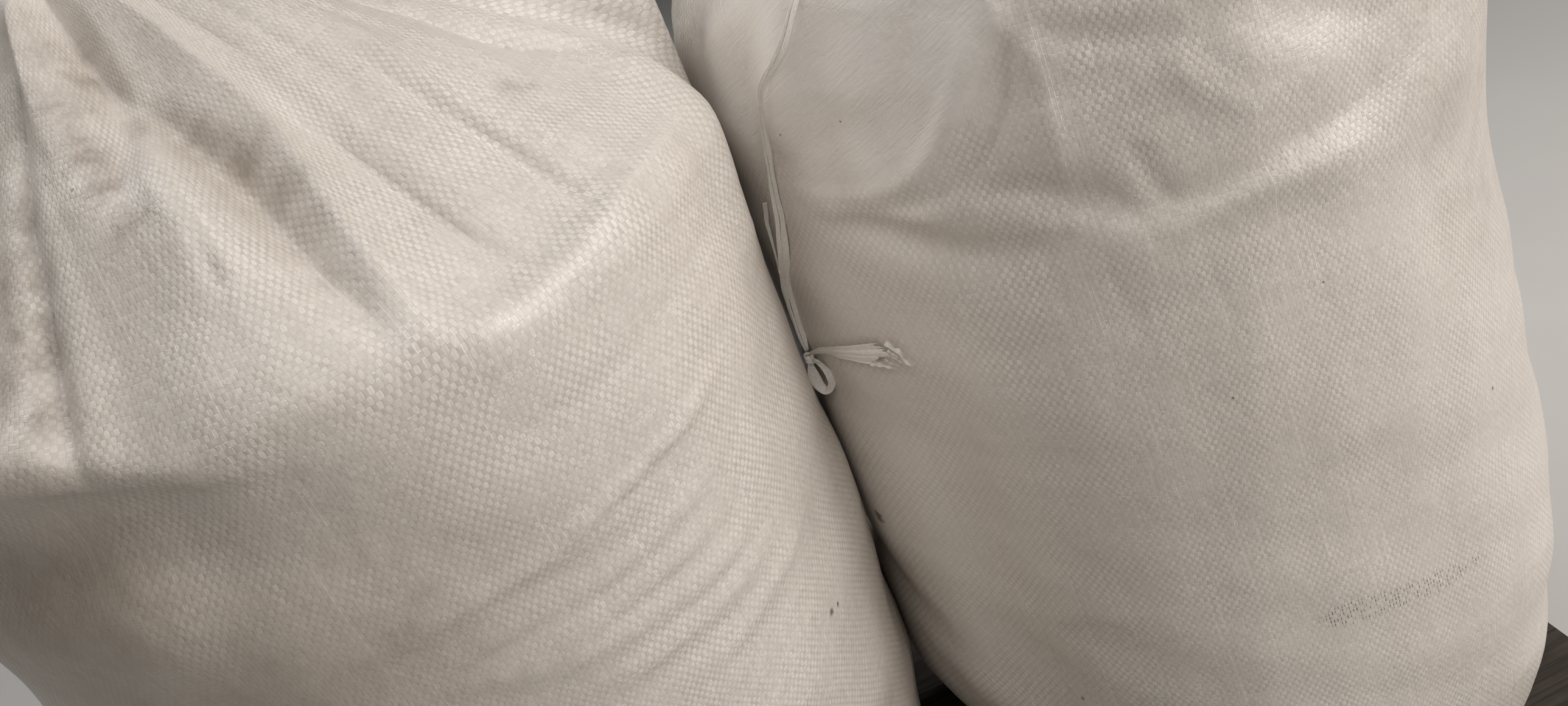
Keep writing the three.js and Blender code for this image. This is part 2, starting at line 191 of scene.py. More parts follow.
RIGHT_FOLDS = [
    # Side at the gap
    (2.2, [(211, 60, 0, 26), (212, 140, -5, 30), (213, 240, -8, 34), (214, 330, -8, 36),
           (215, 400, -5, 34), (215, 450, -2.5, 30), (215, 490, 0, 26)]),
    (2, [(238, 80, 0, 30), (236, 160, 2, 40), (236, 300, 3, 44), (238, 400, 2, 40), (240, 450, 0, 30)]),
    # Shoulder with its film-like flap
    (1.5, [(253, 452, 0, 3.4), (256.8, 453, 1.2, 3.8), (261.4, 456, 2.4, 4.6), (267.4, 457, 3.2, 7),
           (274, 457, 4, 11), (285.2, 453, 4.4, 19), (296.3, 458, 4, 18), (307, 464, 0, 18)]),
    (1.5, [(248, 472, 0, 7), (253, 470, -1.6, 6), (258.8, 467, -3.2, 6.5), (264, 469, -4, 8),
           (269.3, 472, -4, 9), (276.6, 473, -3, 11), (286, 477, -2, 12), (296, 480, 0, 12)]),
    (1.5, [(208, 478, 0, 7), (214, 480, -2, 7), (219, 478, -4, 8), (225, 470, -4.6, 8),
           (232, 464, -4.4, 8.5), (240, 461, -3.6, 9), (248, 462, 0, 8)]),
    (4, [(241.7, 574, 1.4, 8), (239.5, 556, 1.8, 7.6), (237.6, 546, 2, 7), (235.6, 535, 2, 6.4),
         (232.6, 521, 2, 5.6), (229.8, 511, 1.8, 5), (226.6, 503, 1.8, 4.4), (222.6, 497.5, 1.6, 4),
         (217, 495, 1.4, 4), (211, 496, 1, 4), (203, 499, 0, 4)]),
    (1.5, [(246, 562, 0, 5), (243, 548, -1.8, 4), (241, 528, -3, 5), (236.5, 507, -3.4, 6),
           (231, 495, -2.6, 5), (221, 487, -1.4, 4), (212, 486, 0, 5)]),
    (1.4, [(241.5, 582, 0, 5), (242.2, 569, 1.6, 5.4), (243.2, 555, 1.8, 6), (245.2, 538, 1.5, 6.5),
           (245.4, 514, 1.5, 6.5), (245.2, 490, 1.2, 5.6), (246, 478, 0, 5)]),
    (1.5, [(231, 493, 0, 6), (237.9, 490, -3.6, 7), (243.7, 484, -5, 8), (248, 478, -3.4, 7),
           (252, 474, 0, 7)]),
    (1.5, [(238, 478, 0, 5), (244, 474, -1.5, 5), (250, 468, -1.7, 5), (254, 462, -1, 5), (257, 459, 0, 5)]),
    (1.8, [(206, 494, 0, 6), (212, 488, 2, 6), (219, 487, 2.6, 5.5), (226, 483, 2, 5), (231, 479, 0, 5)]),
    (1.5, [(246, 557, 0, 7), (248.6, 549, -2.4, 7), (253.4, 542, -3, 7), (258, 538, -2.4, 7),
           (262, 538, 0, 7)]),
    (1.6, [(252, 502, 0, 5), (253.4, 491, -1.3, 5), (254.8, 478, -1.8, 5), (256, 467, -1.2, 5),
           (256.6, 460, 0, 5)]),
    (1.6, [(259.4, 530, 0, 7), (260.8, 519, 1.7, 7), (262.8, 508, 2.2, 7), (267.4, 495, 2, 8),
           (273.9, 491, 1.2, 8), (279, 494, 0, 8)]),
    (2, [(264, 524, 0, 12), (268, 514, 1.6, 12), (273, 505, 2, 13), (278, 498, 1.6, 13), (284, 494, 0, 14)]),
    (1.5, [(272, 524, 0, 7), (279, 519, -0.8, 8), (286, 506, -1.6, 8), (292, 497, 0, 8)]),
    (1.2, [(238.6, 478, 0, 2.5), (239.6, 465, -0.4, 2.2), (240.1, 443, -0.5, 2.2), (240.1, 405, 0, 2.5)]),
    (1.2, [(248, 492, 0, 2.5), (248.4, 482, -0.7, 2.2), (250.7, 472, -0.8, 2.2), (253, 452, -0.5, 2.2),
           (254.5, 438, 0, 2.5)]),
    (1.2, [(246, 460, 0, 2.5), (247, 440, -0.45, 2.2), (248, 415, -0.4, 2.2), (249, 390, 0, 2.5)]),
    (1.2, [(257, 448, 0, 2.5), (258, 430, -0.4, 2.2), (259, 405, -0.35, 2.2), (260, 380, 0, 2.5)]),
    (1.2, [(199, 525, 0, 4), (203, 538, -1.5, 4), (206, 560, -1.5, 4), (210, 585, 0, 4)]),
    (2, [(219, 602, 0, 12), (217, 588, 3, 15), (214.5, 570, 6, 16), (211.5, 550, 7.5, 16),
         (209.5, 534, 5.5, 16), (208, 514, 0, 14)]),
    (2, [(231, 668, 0, 10), (228, 650, -2, 11), (226, 634, -4, 12), (223.6, 612, -4.6, 12),
         (221.4, 598, -2, 10), (220, 588, 0, 10)]),
    # Back
    (1.6, [(20, 640, 0, 7), (22, 605, -3, 9), (23, 575, -4.5, 12), (22, 545, -2.5, 15), (20, 515, 0, 18)]),
    (1.6, [(62, 635, 0, 7), (60, 600, -3.5, 9), (59, 568, -5, 11), (60, 540, -2.5, 14), (62, 510, 0, 16)]),
    (1.6, [(100, 630, 0, 7), (102, 595, -3, 9), (103, 562, -4.5, 12), (102, 532, -3, 15),
           (100, 500, 0, 18)]),
    (1.6, [(140, 620, 0, 7), (138, 580, -3.5, 9), (137, 550, -5, 11), (138, 520, -2, 14),
           (139, 495, 0, 16)]),
    (2, [(30, 500, 0, 16), (45, 492, -3, 18), (65, 490, -4, 20), (85, 496, -2.5, 18), (100, 502, 0, 16)]),
]
# Soiled and shaded places: angle, height, size, and strength of grime, of yellow stain and of open
# weave. Grime and stain are partly dirt and partly painted shade: the spots in the left cone's
# valleys are dirt and painted shade together, and the big soft spots low on the left sack and
# those on the right sack's right side are painted shade.
LEFT_SOIL_AND_SHADE = [
    # Spots down the cone's valleys, to (252.4, 584): dirt and painted shade together
    (278, 684, 8, 0.4, 0.1), (280, 668, 9, 0.45, 0.1), (284, 652, 12, 0.5, 0.2),
    (286.6, 641, 13, 0.75, 0.3), (288.4, 630, 13, 0.85, 0.3), (287.8, 618, 12, 0.7, 0.3),
    (286.8, 604, 11, 0.4, 0.2), (252.5, 648, 9, 0.4), (251.5, 630, 10, 0.65), (250.6, 612, 11, 0.8),
    (250.5, 596, 10, 0.7), (249, 680, 12, 0.4), (247, 655, 14, 0.5), (328.4, 605, 6, 0.55),
    (331, 602, 5, 0.4), (353.5, 579, 5, 0.6), (350, 583, 5, 0.35), (270, 652, 12, 0.25),
    (266, 640, 8, 0.2), (299.5, 588, 4, 0.25), (316, 612, 5, 0.2), (276, 684, 10, 0.9, 0.1),
    (275, 674, 10, 0.8, 0.05), (270, 681, 10, 0.6, 0.08), (267, 664, 12, 0.7, 0.05),
    (267, 650, 12, 1, 0.1), (269, 638, 12, 1, 0.1), (270.5, 627, 11, 0.9, 0.05), (278, 655, 8, 0.7, 0.1),
    (254, 642, 8, 1, 0.1), (253.2, 624, 8, 1, 0.15), (252.4, 606, 8, 1, 0.1), (252, 588, 8, 0.9, 0.1),
    (251, 605, 12, 0.9, 0.1), (251.5, 590, 12, 0.9, 0.1), (249, 625, 16, 0.8, 0.1),
    (248, 600, 16, 0.8, 0.1), (262, 686, 14, 0.5, 0.05), (259, 668, 14, 0.5, 0.05), (252.4, 584, 9, 0.7),
    # (236, 492), (256, 440), (246, 518) and (270, 470) paint the soft shade low on the left side
    (286, 590, 10, 0.25), (285.6, 577, 8, 0.15), (236, 492, 92, 0.55, 0.75), (256, 440, 86, 0.5, 0.68),
    (246, 518, 48, 0.5, 0.7), (270, 470, 60, 0.4, 0.25), (335, 180, 60, 0, 0.25), (256, 540, 40, 0, 0.2),
]
RIGHT_SOIL_AND_SHADE = [
    (259.6, 229, 5, 0, 0, 0.8), (261.6, 229, 7, 0, 0, 0.9), (263.8, 229, 7.5, 0, 0, 1),
    (266, 228, 7.5, 0, 0, 1), (268.2, 227, 7, 0, 0, 1), (270.4, 225.5, 7, 0, 0, 0.9),
    (272.6, 224, 7, 0, 0, 0.9), (274.8, 222, 7, 0, 0, 0.9), (277, 220.5, 7.5, 0, 0, 1),
    (279.2, 219, 7, 0, 0, 0.9), (281.4, 218.5, 5.5, 0, 0, 0.7), (284, 218, 5, 0, 0, 0.7),
    (286.6, 217.6, 4.5, 0, 0, 0.7), (289, 217, 3, 0, 0, 0.5), (256, 505, 20, 0, 0.15),
    (243, 548, 12, 0.25), (236, 545, 10, 0.2), (200, 110, 30, 0.5), (225, 60, 45, 0.3),
    # From (306, 535) to (318, 370): painted shade on the right sack's right side
    (306, 535, 45, 0.35, 0.15), (314, 490, 55, 0.3, 0.1), (294, 485, 40, 0.35, 0.15),
    (299, 440, 45, 0.35, 0.15), (303, 390, 50, 0.3, 0.12), (316, 430, 60, 0.25, 0.1),
    (318, 370, 60, 0.2, 0.1), (262, 320, 110, 0.1, 0.12), (282, 290, 110, 0.1, 0.12),
    (245, 270, 90, 0.1, 0.12), (228, 300, 80, 0, 0.08),
]
# Places of plain pale film: angle, height, size and strength. The full-strength spots are the
# flap's smooth film; the weaker ones down the flank by the gap are painted light.
RIGHT_PLAIN_AND_PAINTED_LIGHT = [
    (237, 562, 24, 1), (234, 542, 24, 1), (228, 525, 24, 1), (221, 516, 22, 1), (213, 514, 22, 1),
    (223, 560, 34, 1), (211, 545, 34, 1), (200, 530, 30, 1), (229, 590, 34, 1), (212, 580, 40, 1),
    # From (206, 490) on: paler spots down the flank by the gap, painted light on a side the left sack shades
    (196, 556, 34, 1), (206, 490, 40, 0.5), (206, 455, 42, 0.5), (206, 415, 44, 0.5), (206, 375, 44, 0.5),
    (206, 335, 44, 0.5), (206, 295, 42, 0.45), (206, 255, 40, 0.4), (206, 215, 40, 0.3),
    (195, 480, 40, 0.5), (195, 420, 44, 0.5), (216, 470, 34, 0.42), (217, 420, 40, 0.42),
    (218, 365, 42, 0.42), (219, 310, 42, 0.38), (195, 360, 44, 0.5), (195, 300, 44, 0.45),
]
# Specks: centre, size and grain
LEFT_SPECKS = [
    ((-48.5, -132, 452.6), 3.4, 700), ((-43.6, -125.4, 449.5), 2, 700), ((-201.6, -110.3, 795), 1, 900),
    ((-229.8, -140.3, 784.7), 0.9, 900), ((-126.1, -149.5, 732.4), 0.9, 900),
    ((-4.5, -49.9, 442), 5, 500), ((-225.4, -109, 812.9), 1.2, 900), ((-252.5, -150, 772), 1.3, 900),
]
RIGHT_SPECKS = [
    ((23.6, -96.7, 361.9), 2.6, 600), ((23.9, -98.2, 350.9), 1.6, 700), ((22, -93, 367.4), 1.4, 700),
    ((24.5, -99.6, 339.9), 1.5, 700), ((58.2, -148.6, 328.7), 3, 600), ((54.6, -144, 328.7), 1.6, 700),
    ((299.8, -181.9, 437.9), 1.7, 800), ((156.7, -187.7, 512), 1, 900), ((2.5, -48, 427.2), 7, 400),
    ((46.7, -91.8, 675.5), 0.8, 900), ((210.1, -186.2, 548), 0.9, 900), ((96.3, -177.7, 372.8), 0.9, 900),
]
# Each sack: its foot's middle, its lean for each millimetre of height, how far the neck is drawn
# aside and from which height, the neck's height, the side that it stands on, the angles that the
# camera sees with the lowest end of the gathers there, the foot's corners, the shoulder's height by
# angle, swellings (angle, height, depth, width in degrees, height span), and the outline as
# (height, radius)
SACKS = {
    "left": {
        "foot": (-216, 12),
        "lean": (0.026, -0.044),
        "neck_shift": (-35, 0),
        "shift_from": 540,
        "neck": 742,
        "side": -1,
        "shown": (236, 352, 690),
        "ears": (100, 285),
        "shoulder": [
            (0, 562), (5, 588), (10, 606), (25, 618), (60, 612), (120, 600), (170, 586), (200, 580),
            (243, 577), (252, 568), (260, 563), (271, 566), (276, 566), (282, 561), (290, 555),
            (297, 549), (303, 549), (311, 552), (319, 554), (345, 555), (355, 557),
        ],
        "swells": [
            (0, 300, 9, 20, 60), (22, 140, 36, 20, 60),
        ],
        "outline": [
            (190, 206), (300, 206), (420, 206), (500, 205.5), (535, 204), (556, 203), (585, 180),
            (615, 150), (650, 110), (685, 70), (712, 40), (730, 25), (742, 24.5), (754, 25), (775, 36),
            (805, 50), (835, 60),
        ],
        "folds": LEFT_FOLDS,
        "marks": LEFT_SOIL_AND_SHADE,
    },
    "right": {
        "foot": (216, -38),
        "lean": (-0.027, 0.139),
        "neck_shift": (12, 0),
        "shift_from": 480,
        "neck": 748,
        "side": 1,
        "shown": (190, 320, 640),
        "ears": (80, 262),
        "shoulder": [
            (0, 572), (40, 568), (100, 562), (150, 545), (170, 530), (190, 531), (202, 550), (211, 564),
            (219, 557), (228, 552), (238, 558), (255, 562), (300, 564), (330, 570),
        ],
        "swells": [
            (180, 300, 9, 20, 60), (158, 140, 36, 20, 60), (322, 478, 10, 28, 46),
        ],
        "outline": [
            (190, 206), (300, 206), (420, 206), (456, 206), (480, 205), (515, 204.5), (550, 204),
            (590, 196), (625, 174), (660, 136), (695, 92), (720, 44), (737, 25), (748, 24.5), (760, 25),
            (782, 36), (812, 51), (842, 62),
        ],
        "folds": RIGHT_FOLDS,
        "marks": RIGHT_SOIL_AND_SHADE + [(*spot[:3], 0, 0, 0, spot[3]) for spot in RIGHT_PLAIN_AND_PAINTED_LIGHT],
    },
}
# Colours and relief
# Upright tapes are painted lighter than tapes across: a painted sheen
CLOTH_ACROSS_PAINTED_DULL = (0.65, 0.59, 0.526, 1)
CLOTH_UPRIGHT_PAINTED_SHEEN = (0.79, 0.74, 0.683, 1)
CLOTH_CLOUD = (0.5, 0.44, 0.38, 1)
FILM_CLOTH_AND_PAINTED_LIGHT = (0.87, 0.825, 0.775, 1)
PAINTED_GLINT_COLOUR = (0.95, 0.93, 0.9, 1)
HOLE_COLOUR = (0.12, 0.1, 0.08, 1)
# Grime and stain colours, which also paint shade at some marks
GRIME_AND_SHADE_COLOUR = (0.22, 0.17, 0.13, 1)
STAIN_AND_SHADE_COLOUR = (0.37, 0.31, 0.25, 1)
FLECK_COLOUR = (0.06, 0.04, 0.03, 1)
WOOD_DARK = (0.024, 0.018, 0.013, 1)
WOOD_LIGHT = (0.06, 0.043, 0.031, 1)
WOOD_GREY = (0.1, 0.088, 0.077, 1)
WOOD_DAMP = (0.02, 0.016, 0.012, 1)
FILM_SHADE = (0.84, 0.79, 0.71, 1)
FILM_LIGHT = (0.98, 0.95, 0.9, 1)
STEEL_COLOUR = (0.16, 0.15, 0.14, 1)
RUST_COLOUR = (0.08, 0.04, 0.022, 1)
WEAVE_HEIGHT = 0.07
CRINKLE_HEIGHT = 0.7
WRINKLE_HEIGHT = 0.24
# Number of a crossing of two tapes: the upright count plus this many for each tape across
CROSSING_STEP = 613.0
# Tape: rows of the tail's route, of (height, width over both strands), and of the knot's turns
# (axis, size, width, shift)
STRAND_SIDES = 16
TAIL_ROUTE = [
    (184.6, 42.8, 891.8), (180, 38, 887), (176, 30.1, 867), (165.8, 18.2, 854.3), (145.4, -4.6, 834.3),
    (116.7, -36.7, 804.3), (94.8, -61.7, 774.3), (78, -71, 757), (60, -75.2, 741.4), (47.2, -79.8, 730.2),
    (34.8, -78.6, 712.9), (23, -69.9, 699.1), (18.8, -64.9, 687.3), (16.5, -56.8, 666.4),
    (13.7, -48.6, 642.7), (11.6, -45, 624.4), (7.2, -42.6, 605.4), (3.4, -34, 582.2), (1.9, -32, 561),
    (0.8, -35.2, 542.4),
]
TAIL_SPREAD = [
    (892, 4), (760, 3.8), (730, 3.8), (713, 4.3), (703, 3.8), (695, 2.6), (687, 2.3), (676, 3),
    (663, 3.8), (655, 3), (643, 4), (630, 5.2), (612, 6), (590, 5.8), (570, 5.6), (552, 5), (545, 3.2),
    (541, 2.2),
]
KNOT_CENTRE = (0.5, -36.2, 538.4)
KNOT_TURNS = [
    ((0.1, -0.3, 1), 2.2, 2.6, (-0.3, -1, 1.4)), ((0.5, 0.1, 0.9), 2.5, 2.4, (-0.2, -1.2, -1.2)),
    ((1, 0.2, 0.3), 2.1, 2.2, (-0.6, -1.6, -0.2)), ((-0.6, 0.3, 0.7), 2.2, 2, (0.5, -1.4, 0.3)),
]
# The loop under the knot: a place and the width there
LOOP_PATH = [
    (0.2, -37.6, 539.6, 1.6), (-0.6, -38, 533.6, 3.6), (-1, -38.1, 527.1, 6.2), (-0.5, -38.9, 521.8, 7.2),
    (1.3, -41.1, 518.2, 5.6), (3.8, -43.2, 518.9, 4.2), (5.9, -45.1, 523, 4.4), (6.2, -45.9, 527.9, 4.6),
    (5.3, -46, 532.6, 3.8), (3.6, -44.6, 536.9, 2.6), (1.7, -40.8, 539.2, 1.6),
]
# The frayed end: its two edges, its waves (count across, height, start, drift along it) and its
# torn strands (width, places)
TASSEL_UPPER = [
    (1.3, -36.1, 541.5), (2.6, -39.5, 543.8), (4.3, -45.7, 547.3), (7, -51.3, 549.8), (11.5, -63, 553.7),
    (16.3, -71.4, 555.9), (21.3, -78.5, 557.5), (26.3, -84.8, 558.9), (31.2, -91.1, 560.4),
    (33.3, -93.9, 559.8),
]
TASSEL_LOWER = [
    (1, -36.3, 540.3), (1.9, -38.5, 541.1), (3.7, -42.6, 542.6), (6.1, -47.8, 544), (9.2, -55.3, 545.6),
    (12.1, -64.1, 546.2), (16.9, -73.1, 546.8), (19.6, -76.8, 546.1), (25.9, -85, 545.2),
    (31.6, -92.5, 544.1),
]
TASSEL_FOLDS = [
    (1.5, 0.7, 0.1, 0.15), (3.2, 0.45, 0.4, 0.3), (6.5, 0.16, 0, 0.8),
]
TASSEL_STRANDS = [
    (2.2, [(32, -92.1, 559.8), (33.4, -94.1, 558.2), (34.5, -95.7, 556.3), (35.9, -97.7, 555.6),
           (36.3, -98.3, 553.6), (36.6, -99.1, 551.1), (37.5, -100.2, 548.9), (38.8, -101.9, 547.5),
           (40.6, -104.5, 548.4)]),
    (1.9, [(23.3, -81.7, 546), (27.8, -87.5, 545.4), (30.8, -91.5, 544.7), (32.2, -93.4, 543.9)]),
    (0.9, [(30.7, -91.2, 552.7), (32.8, -93.7, 551.5), (34.6, -96.4, 549.8), (36.5, -98.9, 547.3)]),
    (0.7, [(29.7, -89.8, 549.8), (31.4, -92.1, 547.5), (33.3, -94.6, 546.7), (34.6, -96.5, 545.6)]),
    (1.1, [(31.7, -92.9, 555.8), (33.6, -94.8, 553.1), (35.7, -97.7, 550.8)]),
    (1.2, [(1, -39.9, 540.8), (2.6, -43.7, 539.4), (4.2, -47.5, 538.1), (5.6, -51.8, 537.8)]),
]
SHEET_ROWS = 56
SHEET_COLUMNS = 33
SHEET_HALF = 0.13
# A strand that leaves the tail above the knot
LOOSE_ROUTE = [
    (2.5, -37.4, 592.7), (3.6, -37.3, 602.3), (4.7, -35.6, 609.7), (5.7, -33.6, 616.5),
    (6.2, -33.1, 620.6), (7.6, -34.1, 626.1), (8.5, -36.4, 632.5),
]
TIE_LOOPS = 9
TIE_HALF = 5.4
TIE_RADIUS = 27.6
# Nails: outline of a head as (radius, height), and their places on each crossing of a cross board
# at one x with a deck board at one y
NAIL_PROFILE = [(2.2, 0.75), (3.2, 0.4), (3.4, -1.5)]
NAIL_SIDES = 12
NAIL_SPOTS = [(-28, -26), (26, 2), (-22, 28)]
CROSS_BOARDS = (-350, 0, 350)
DECK_BOARDS = range(-250, 251, 125)
# Lamps: azimuth, elevation, power in watts and colour; distances of lamps and floor are in metres
LAMPS = [
    ("front right lamp", 318, 20, 15, (1, 0.945, 0.895)),
    ("right lamp", 336, 20, 24, (1, 0.96, 0.925)),
    ("high right lamp", 345, 48, 14, (0.98, 0.98, 0.98)),
    ("front lamp", 265, 50, 14, (0.99, 0.96, 0.93)),
    ("back lamp", 120, 40, 9, (0.98, 0.98, 0.99)),
    ("high back left lamp", 152, 60, 11, (0.99, 0.975, 0.975)),
    ("high left lamp", 165, 70, 12, (0.97, 0.98, 0.99)),
]
LAMP_DISTANCE = 2.6
LAMP_SIZE = 1.3
LAMP_AIM = (0, 0, 0.55)
ROOM_LIGHT = 0.03
ROOM_COLOUR = (1.0, 0.97, 0.93, 1)
FLOOR_HALF = 6
FLOOR_SHADE = (0.62, 0.6, 0.57, 1)
FLOOR_LIGHT = (0.7, 0.68, 0.65, 1)


# Camera
def add_camera():
    sin_yaw, cos_yaw = np.sin(CAMERA_YAW), np.cos(CAMERA_YAW)
    sin_pitch, cos_pitch = np.sin(CAMERA_PITCH), np.cos(CAMERA_PITCH)
    forward = np.array([sin_yaw * cos_pitch, cos_yaw * cos_pitch, -sin_pitch])
    level = np.array([cos_yaw, -sin_yaw, 0.0])
    down = np.cross(forward, level)
    right = np.cos(CAMERA_ROLL) * level + np.sin(CAMERA_ROLL) * down
    below = np.cos(CAMERA_ROLL) * down - np.sin(CAMERA_ROLL) * level
    data = bpy.data.cameras.new("camera")
    data.lens = CAMERA_LENS
    data.sensor_width = CAMERA_SENSOR
    data.clip_start = CAMERA_NEAREST * MM
    camera = bpy.data.objects.new("camera", data)
    turned = Matrix(np.column_stack([right, -below, -forward]).tolist())
    camera.matrix_world = Matrix.Translation(np.array(CAMERA_PLACE) * MM) @ turned.to_4x4()
    bpy.context.collection.objects.link(camera)
    bpy.context.scene.camera = camera


# Small helpers
def smooth(t):
    """Cubic step from 0 to 1."""
    c = np.clip(t, 0, 1)
    return c * c * (3 - 2 * c)


def apart_round(angle, centre):
    """Degrees from centre to angle the short way round, from -180 to 180."""
    return (angle - centre + 180) % 360 - 180


def unit(vectors):
    """Vectors of length 1 along the last axis."""
    return vectors / np.maximum(np.linalg.norm(vectors, axis=-1, keepdims=True), 1e-9)


def walked(points):
    """Distance from the first point to each point along a path."""
    steps = np.linalg.norm(np.diff(points, axis=0), axis=1)
    return np.concatenate([[0], np.cumsum(steps)])


def curve_through(points, count):
    """Catmull-Rom curve through points, resampled to count points evenly along its length."""
    p = np.asarray(points, float)
    p = np.vstack([2 * p[0] - p[1], p, 2 * p[-1] - p[-2]])
    t = np.linspace(0, 1, SPAN_STEPS, endpoint=False)[:, None]
    a, b, c, d = p[:-3, None], p[1:-2, None], p[2:-1, None], p[3:, None]
    cubic = -a + 3 * b - 3 * c + d
    spans = 0.5 * (2 * b + (c - a) * t + (2 * a - 5 * b + 4 * c - d) * t**2 + cubic * t**3)
    dense = np.vstack([spans.reshape(-1, p.shape[1]), p[-2]])
    along = walked(dense)
    wanted = np.linspace(0, along[-1], count)
    return np.column_stack([np.interp(wanted, along, column) for column in dense.T])


def new_mesh(name, points, faces, material, uvs=None):
    """A smooth piece from points in millimetres and a list of faces, riding on the pallet."""
    mesh = bpy.data.meshes.new(name)
    mesh.from_pydata((np.asarray(points, float) * MM).tolist(), [], faces)
    if uvs is not None:
        layer = mesh.uv_layers.new(name="cloth")
        layer.data.foreach_set("uv", np.asarray(uvs, np.float32).ravel())
    mesh.shade_smooth()
    mesh.materials.append(material)
    piece = bpy.data.objects.new(name, mesh)
    bpy.context.collection.objects.link(piece)
    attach(piece, BODY)
    return piece


def tube_faces(rings, around):
    """Faces between rings of points joined round, in ring order."""
    ring, spot = np.meshgrid(np.arange(rings - 1), np.arange(around), indexing="ij")
    low, after = ring * around, (spot + 1) % around
    quads = [low + spot, low + after, low + around + after, low + around + spot]
    return np.stack([q.ravel() for q in quads], 1)


def grid_normals(points):
    """Unit normals of rings of points: the way round crossed with the way up."""
    around = np.roll(points, -1, 1) - np.roll(points, 1, 1)
    return unit(np.cross(around, np.gradient(points, axis=0)))


# Shape of a sack
def sack_middle(sack, height):
    """Middle of a sack at a height: it leans as a whole, its neck is drawn to one side, and the
    band under the tie stays upright."""
    z = np.where(np.abs(height - sack["neck"]) < NECK_HALF, sack["neck"], height)
    t = smooth((z - sack["shift_from"]) / (sack["neck"] - sack["shift_from"]))
    return [sack["foot"][k] + sack["lean"][k] * z + sack["neck_shift"][k] * t for k in (0, 1)]


def press_side(sack, x):
    """The neighbour flattens the side that faces it: no point crosses the middle plane."""
    d = x * sack["side"]
    return sack["side"] * (SIDE_GAP + 0.5 * (d + np.hypot(d, SQUEEZE)))


def rounded(values, span):
    """Values at 1 mm steps, averaged over a soft window of span millimetres."""
    window = np.hanning(span + 2)[1:-1]
    padded = np.pad(values, span // 2, mode="edge")
    return np.convolve(padded, window / window.sum(), "valid")


def cloth_rows(sack):
    """Radius, height and cloth length of each row: out from the middle of the foot, round its
    corner, up the side and through the neck to the lip. Rows lie closer where folds are."""
    foot_z = FOOT_HEIGHT * np.linspace(0, 1, 120) ** 2
    rise = (1 - foot_z / FOOT_HEIGHT) ** FOOT_CURVE
    foot_r = FOOT_RADIUS + (SACK_RADIUS - FOOT_RADIUS) * np.sqrt(1 - rise)
    heights, radii = np.transpose(sack["outline"])
    side_z = np.arange(heights[0] + 1, heights[-1] + 0.5, 1.0)
    side_r = rounded(np.interp(side_z, heights, radii), 15)
    r = np.concatenate([FLOOR_RINGS, foot_r, side_r])
    z = np.concatenate([np.zeros(len(FLOOR_RINGS)), foot_z, side_z])
    length = FLOOR_RINGS[0] + walked(np.column_stack([r, z]))
    spacing = np.interp(z, *np.transpose(ROW_SPACING))
    crowd = np.concatenate([[0], np.cumsum(np.diff(length) / spacing[1:])])
    wanted = np.interp(np.linspace(0, crowd[-1], ROWS), crowd, length)
    return np.interp(wanted, length, r), np.interp(wanted, length, z), wanted


def shoulder_at(sack, angle):
    """Height of the shoulder at an angle, over the height that the outline gives it."""
    angles, heights = np.transpose(sack["shoulder"])
    return np.interp(angle % 360, angles, heights, period=360) - SHOULDER_HEIGHT


def shoulder_share(sack, z):
    """How far a height moves with the shoulder: not at all on the belly or at the neck."""
    return smooth((z - 380) / 150) * smooth((sack["neck"] - 20 - z) / 120)


def fold_across(base, on_surface, sharpness, path):
    """Depth along one fold: each point of its path is (angle, height, depth, width), and the depth
    falls away from the path as exp(-(distance / width) ** sharpness)."""
    path = np.asarray(path, float)
    places = np.column_stack([on_surface(path[:, 0], path[:, 1]), path[:, 2:]])
    line = curve_through(places, FOLD_POINTS)
    reach = 4 * line[:, 4].max()
    low, high = line[:, :3].min(0) - reach, line[:, :3].max(0) + reach
    near = np.all((base > low) & (base < high), axis=2)
    spots = base[near]
    start, step = line[:-1, :3], np.diff(line[:, :3], axis=0)
    size = np.maximum((step**2).sum(1), 1e-9)
    along = np.einsum("nk,mk->nm", spots, step) - (start * step).sum(1)
    along = np.clip(along / size, 0, 1)
    gap = ((spots[:, None] - start - along[:, :, None] * step) ** 2).sum(2)
    best = gap.argmin(1)
    each = np.arange(len(spots))
    at = line[best] + along[each, best][:, None] * (line[best + 1] - line[best])
    depth = np.zeros(base.shape[:2])
    depth[near] = at[:, 3] * np.exp(-((np.sqrt(gap[each, best]) / at[:, 4]) ** sharpness))
    return depth


def gathers(sack, angle, z, radius, seed):
    """Valleys that run down from the neck: each keeps to its own angle with a slow wander, is
    deepest halfway, and ends at its own height."""
    random = np.random.default_rng(seed)
    depth = np.zeros((len(z), len(angle)))
    spots = np.arange(GATHERS) * 360 / GATHERS + random.uniform(-5, 5, GATHERS)
    ends = random.uniform(575, 675, GATHERS)
    for spot, end in zip(spots, ends):
        if sack["shown"][0] < spot < sack["shown"][1]:
            end = max(end, sack["shown"][2])
        wander = random.uniform(-7, 7) * np.sin((z - sack["neck"]) / random.uniform(40, 70))
        off = apart_round(angle[None] - wander[:, None], spot)
        gap = np.radians(np.abs(off)) * radius
        wide = np.maximum(0.30 * 2 * np.pi * radius / GATHERS, 1.5) * random.uniform(0.7, 1.3)
        deep = np.minimum(0.20 * radius, 5 + 0.09 * radius) * random.uniform(0.6, 1.2)
        reach = smooth((z - end) / 70) * smooth((sack["neck"] + 6 - z) / 30)
        depth -= (reach[:, None] * deep) * np.exp(-((gap / wide) ** 1.3))
    return depth


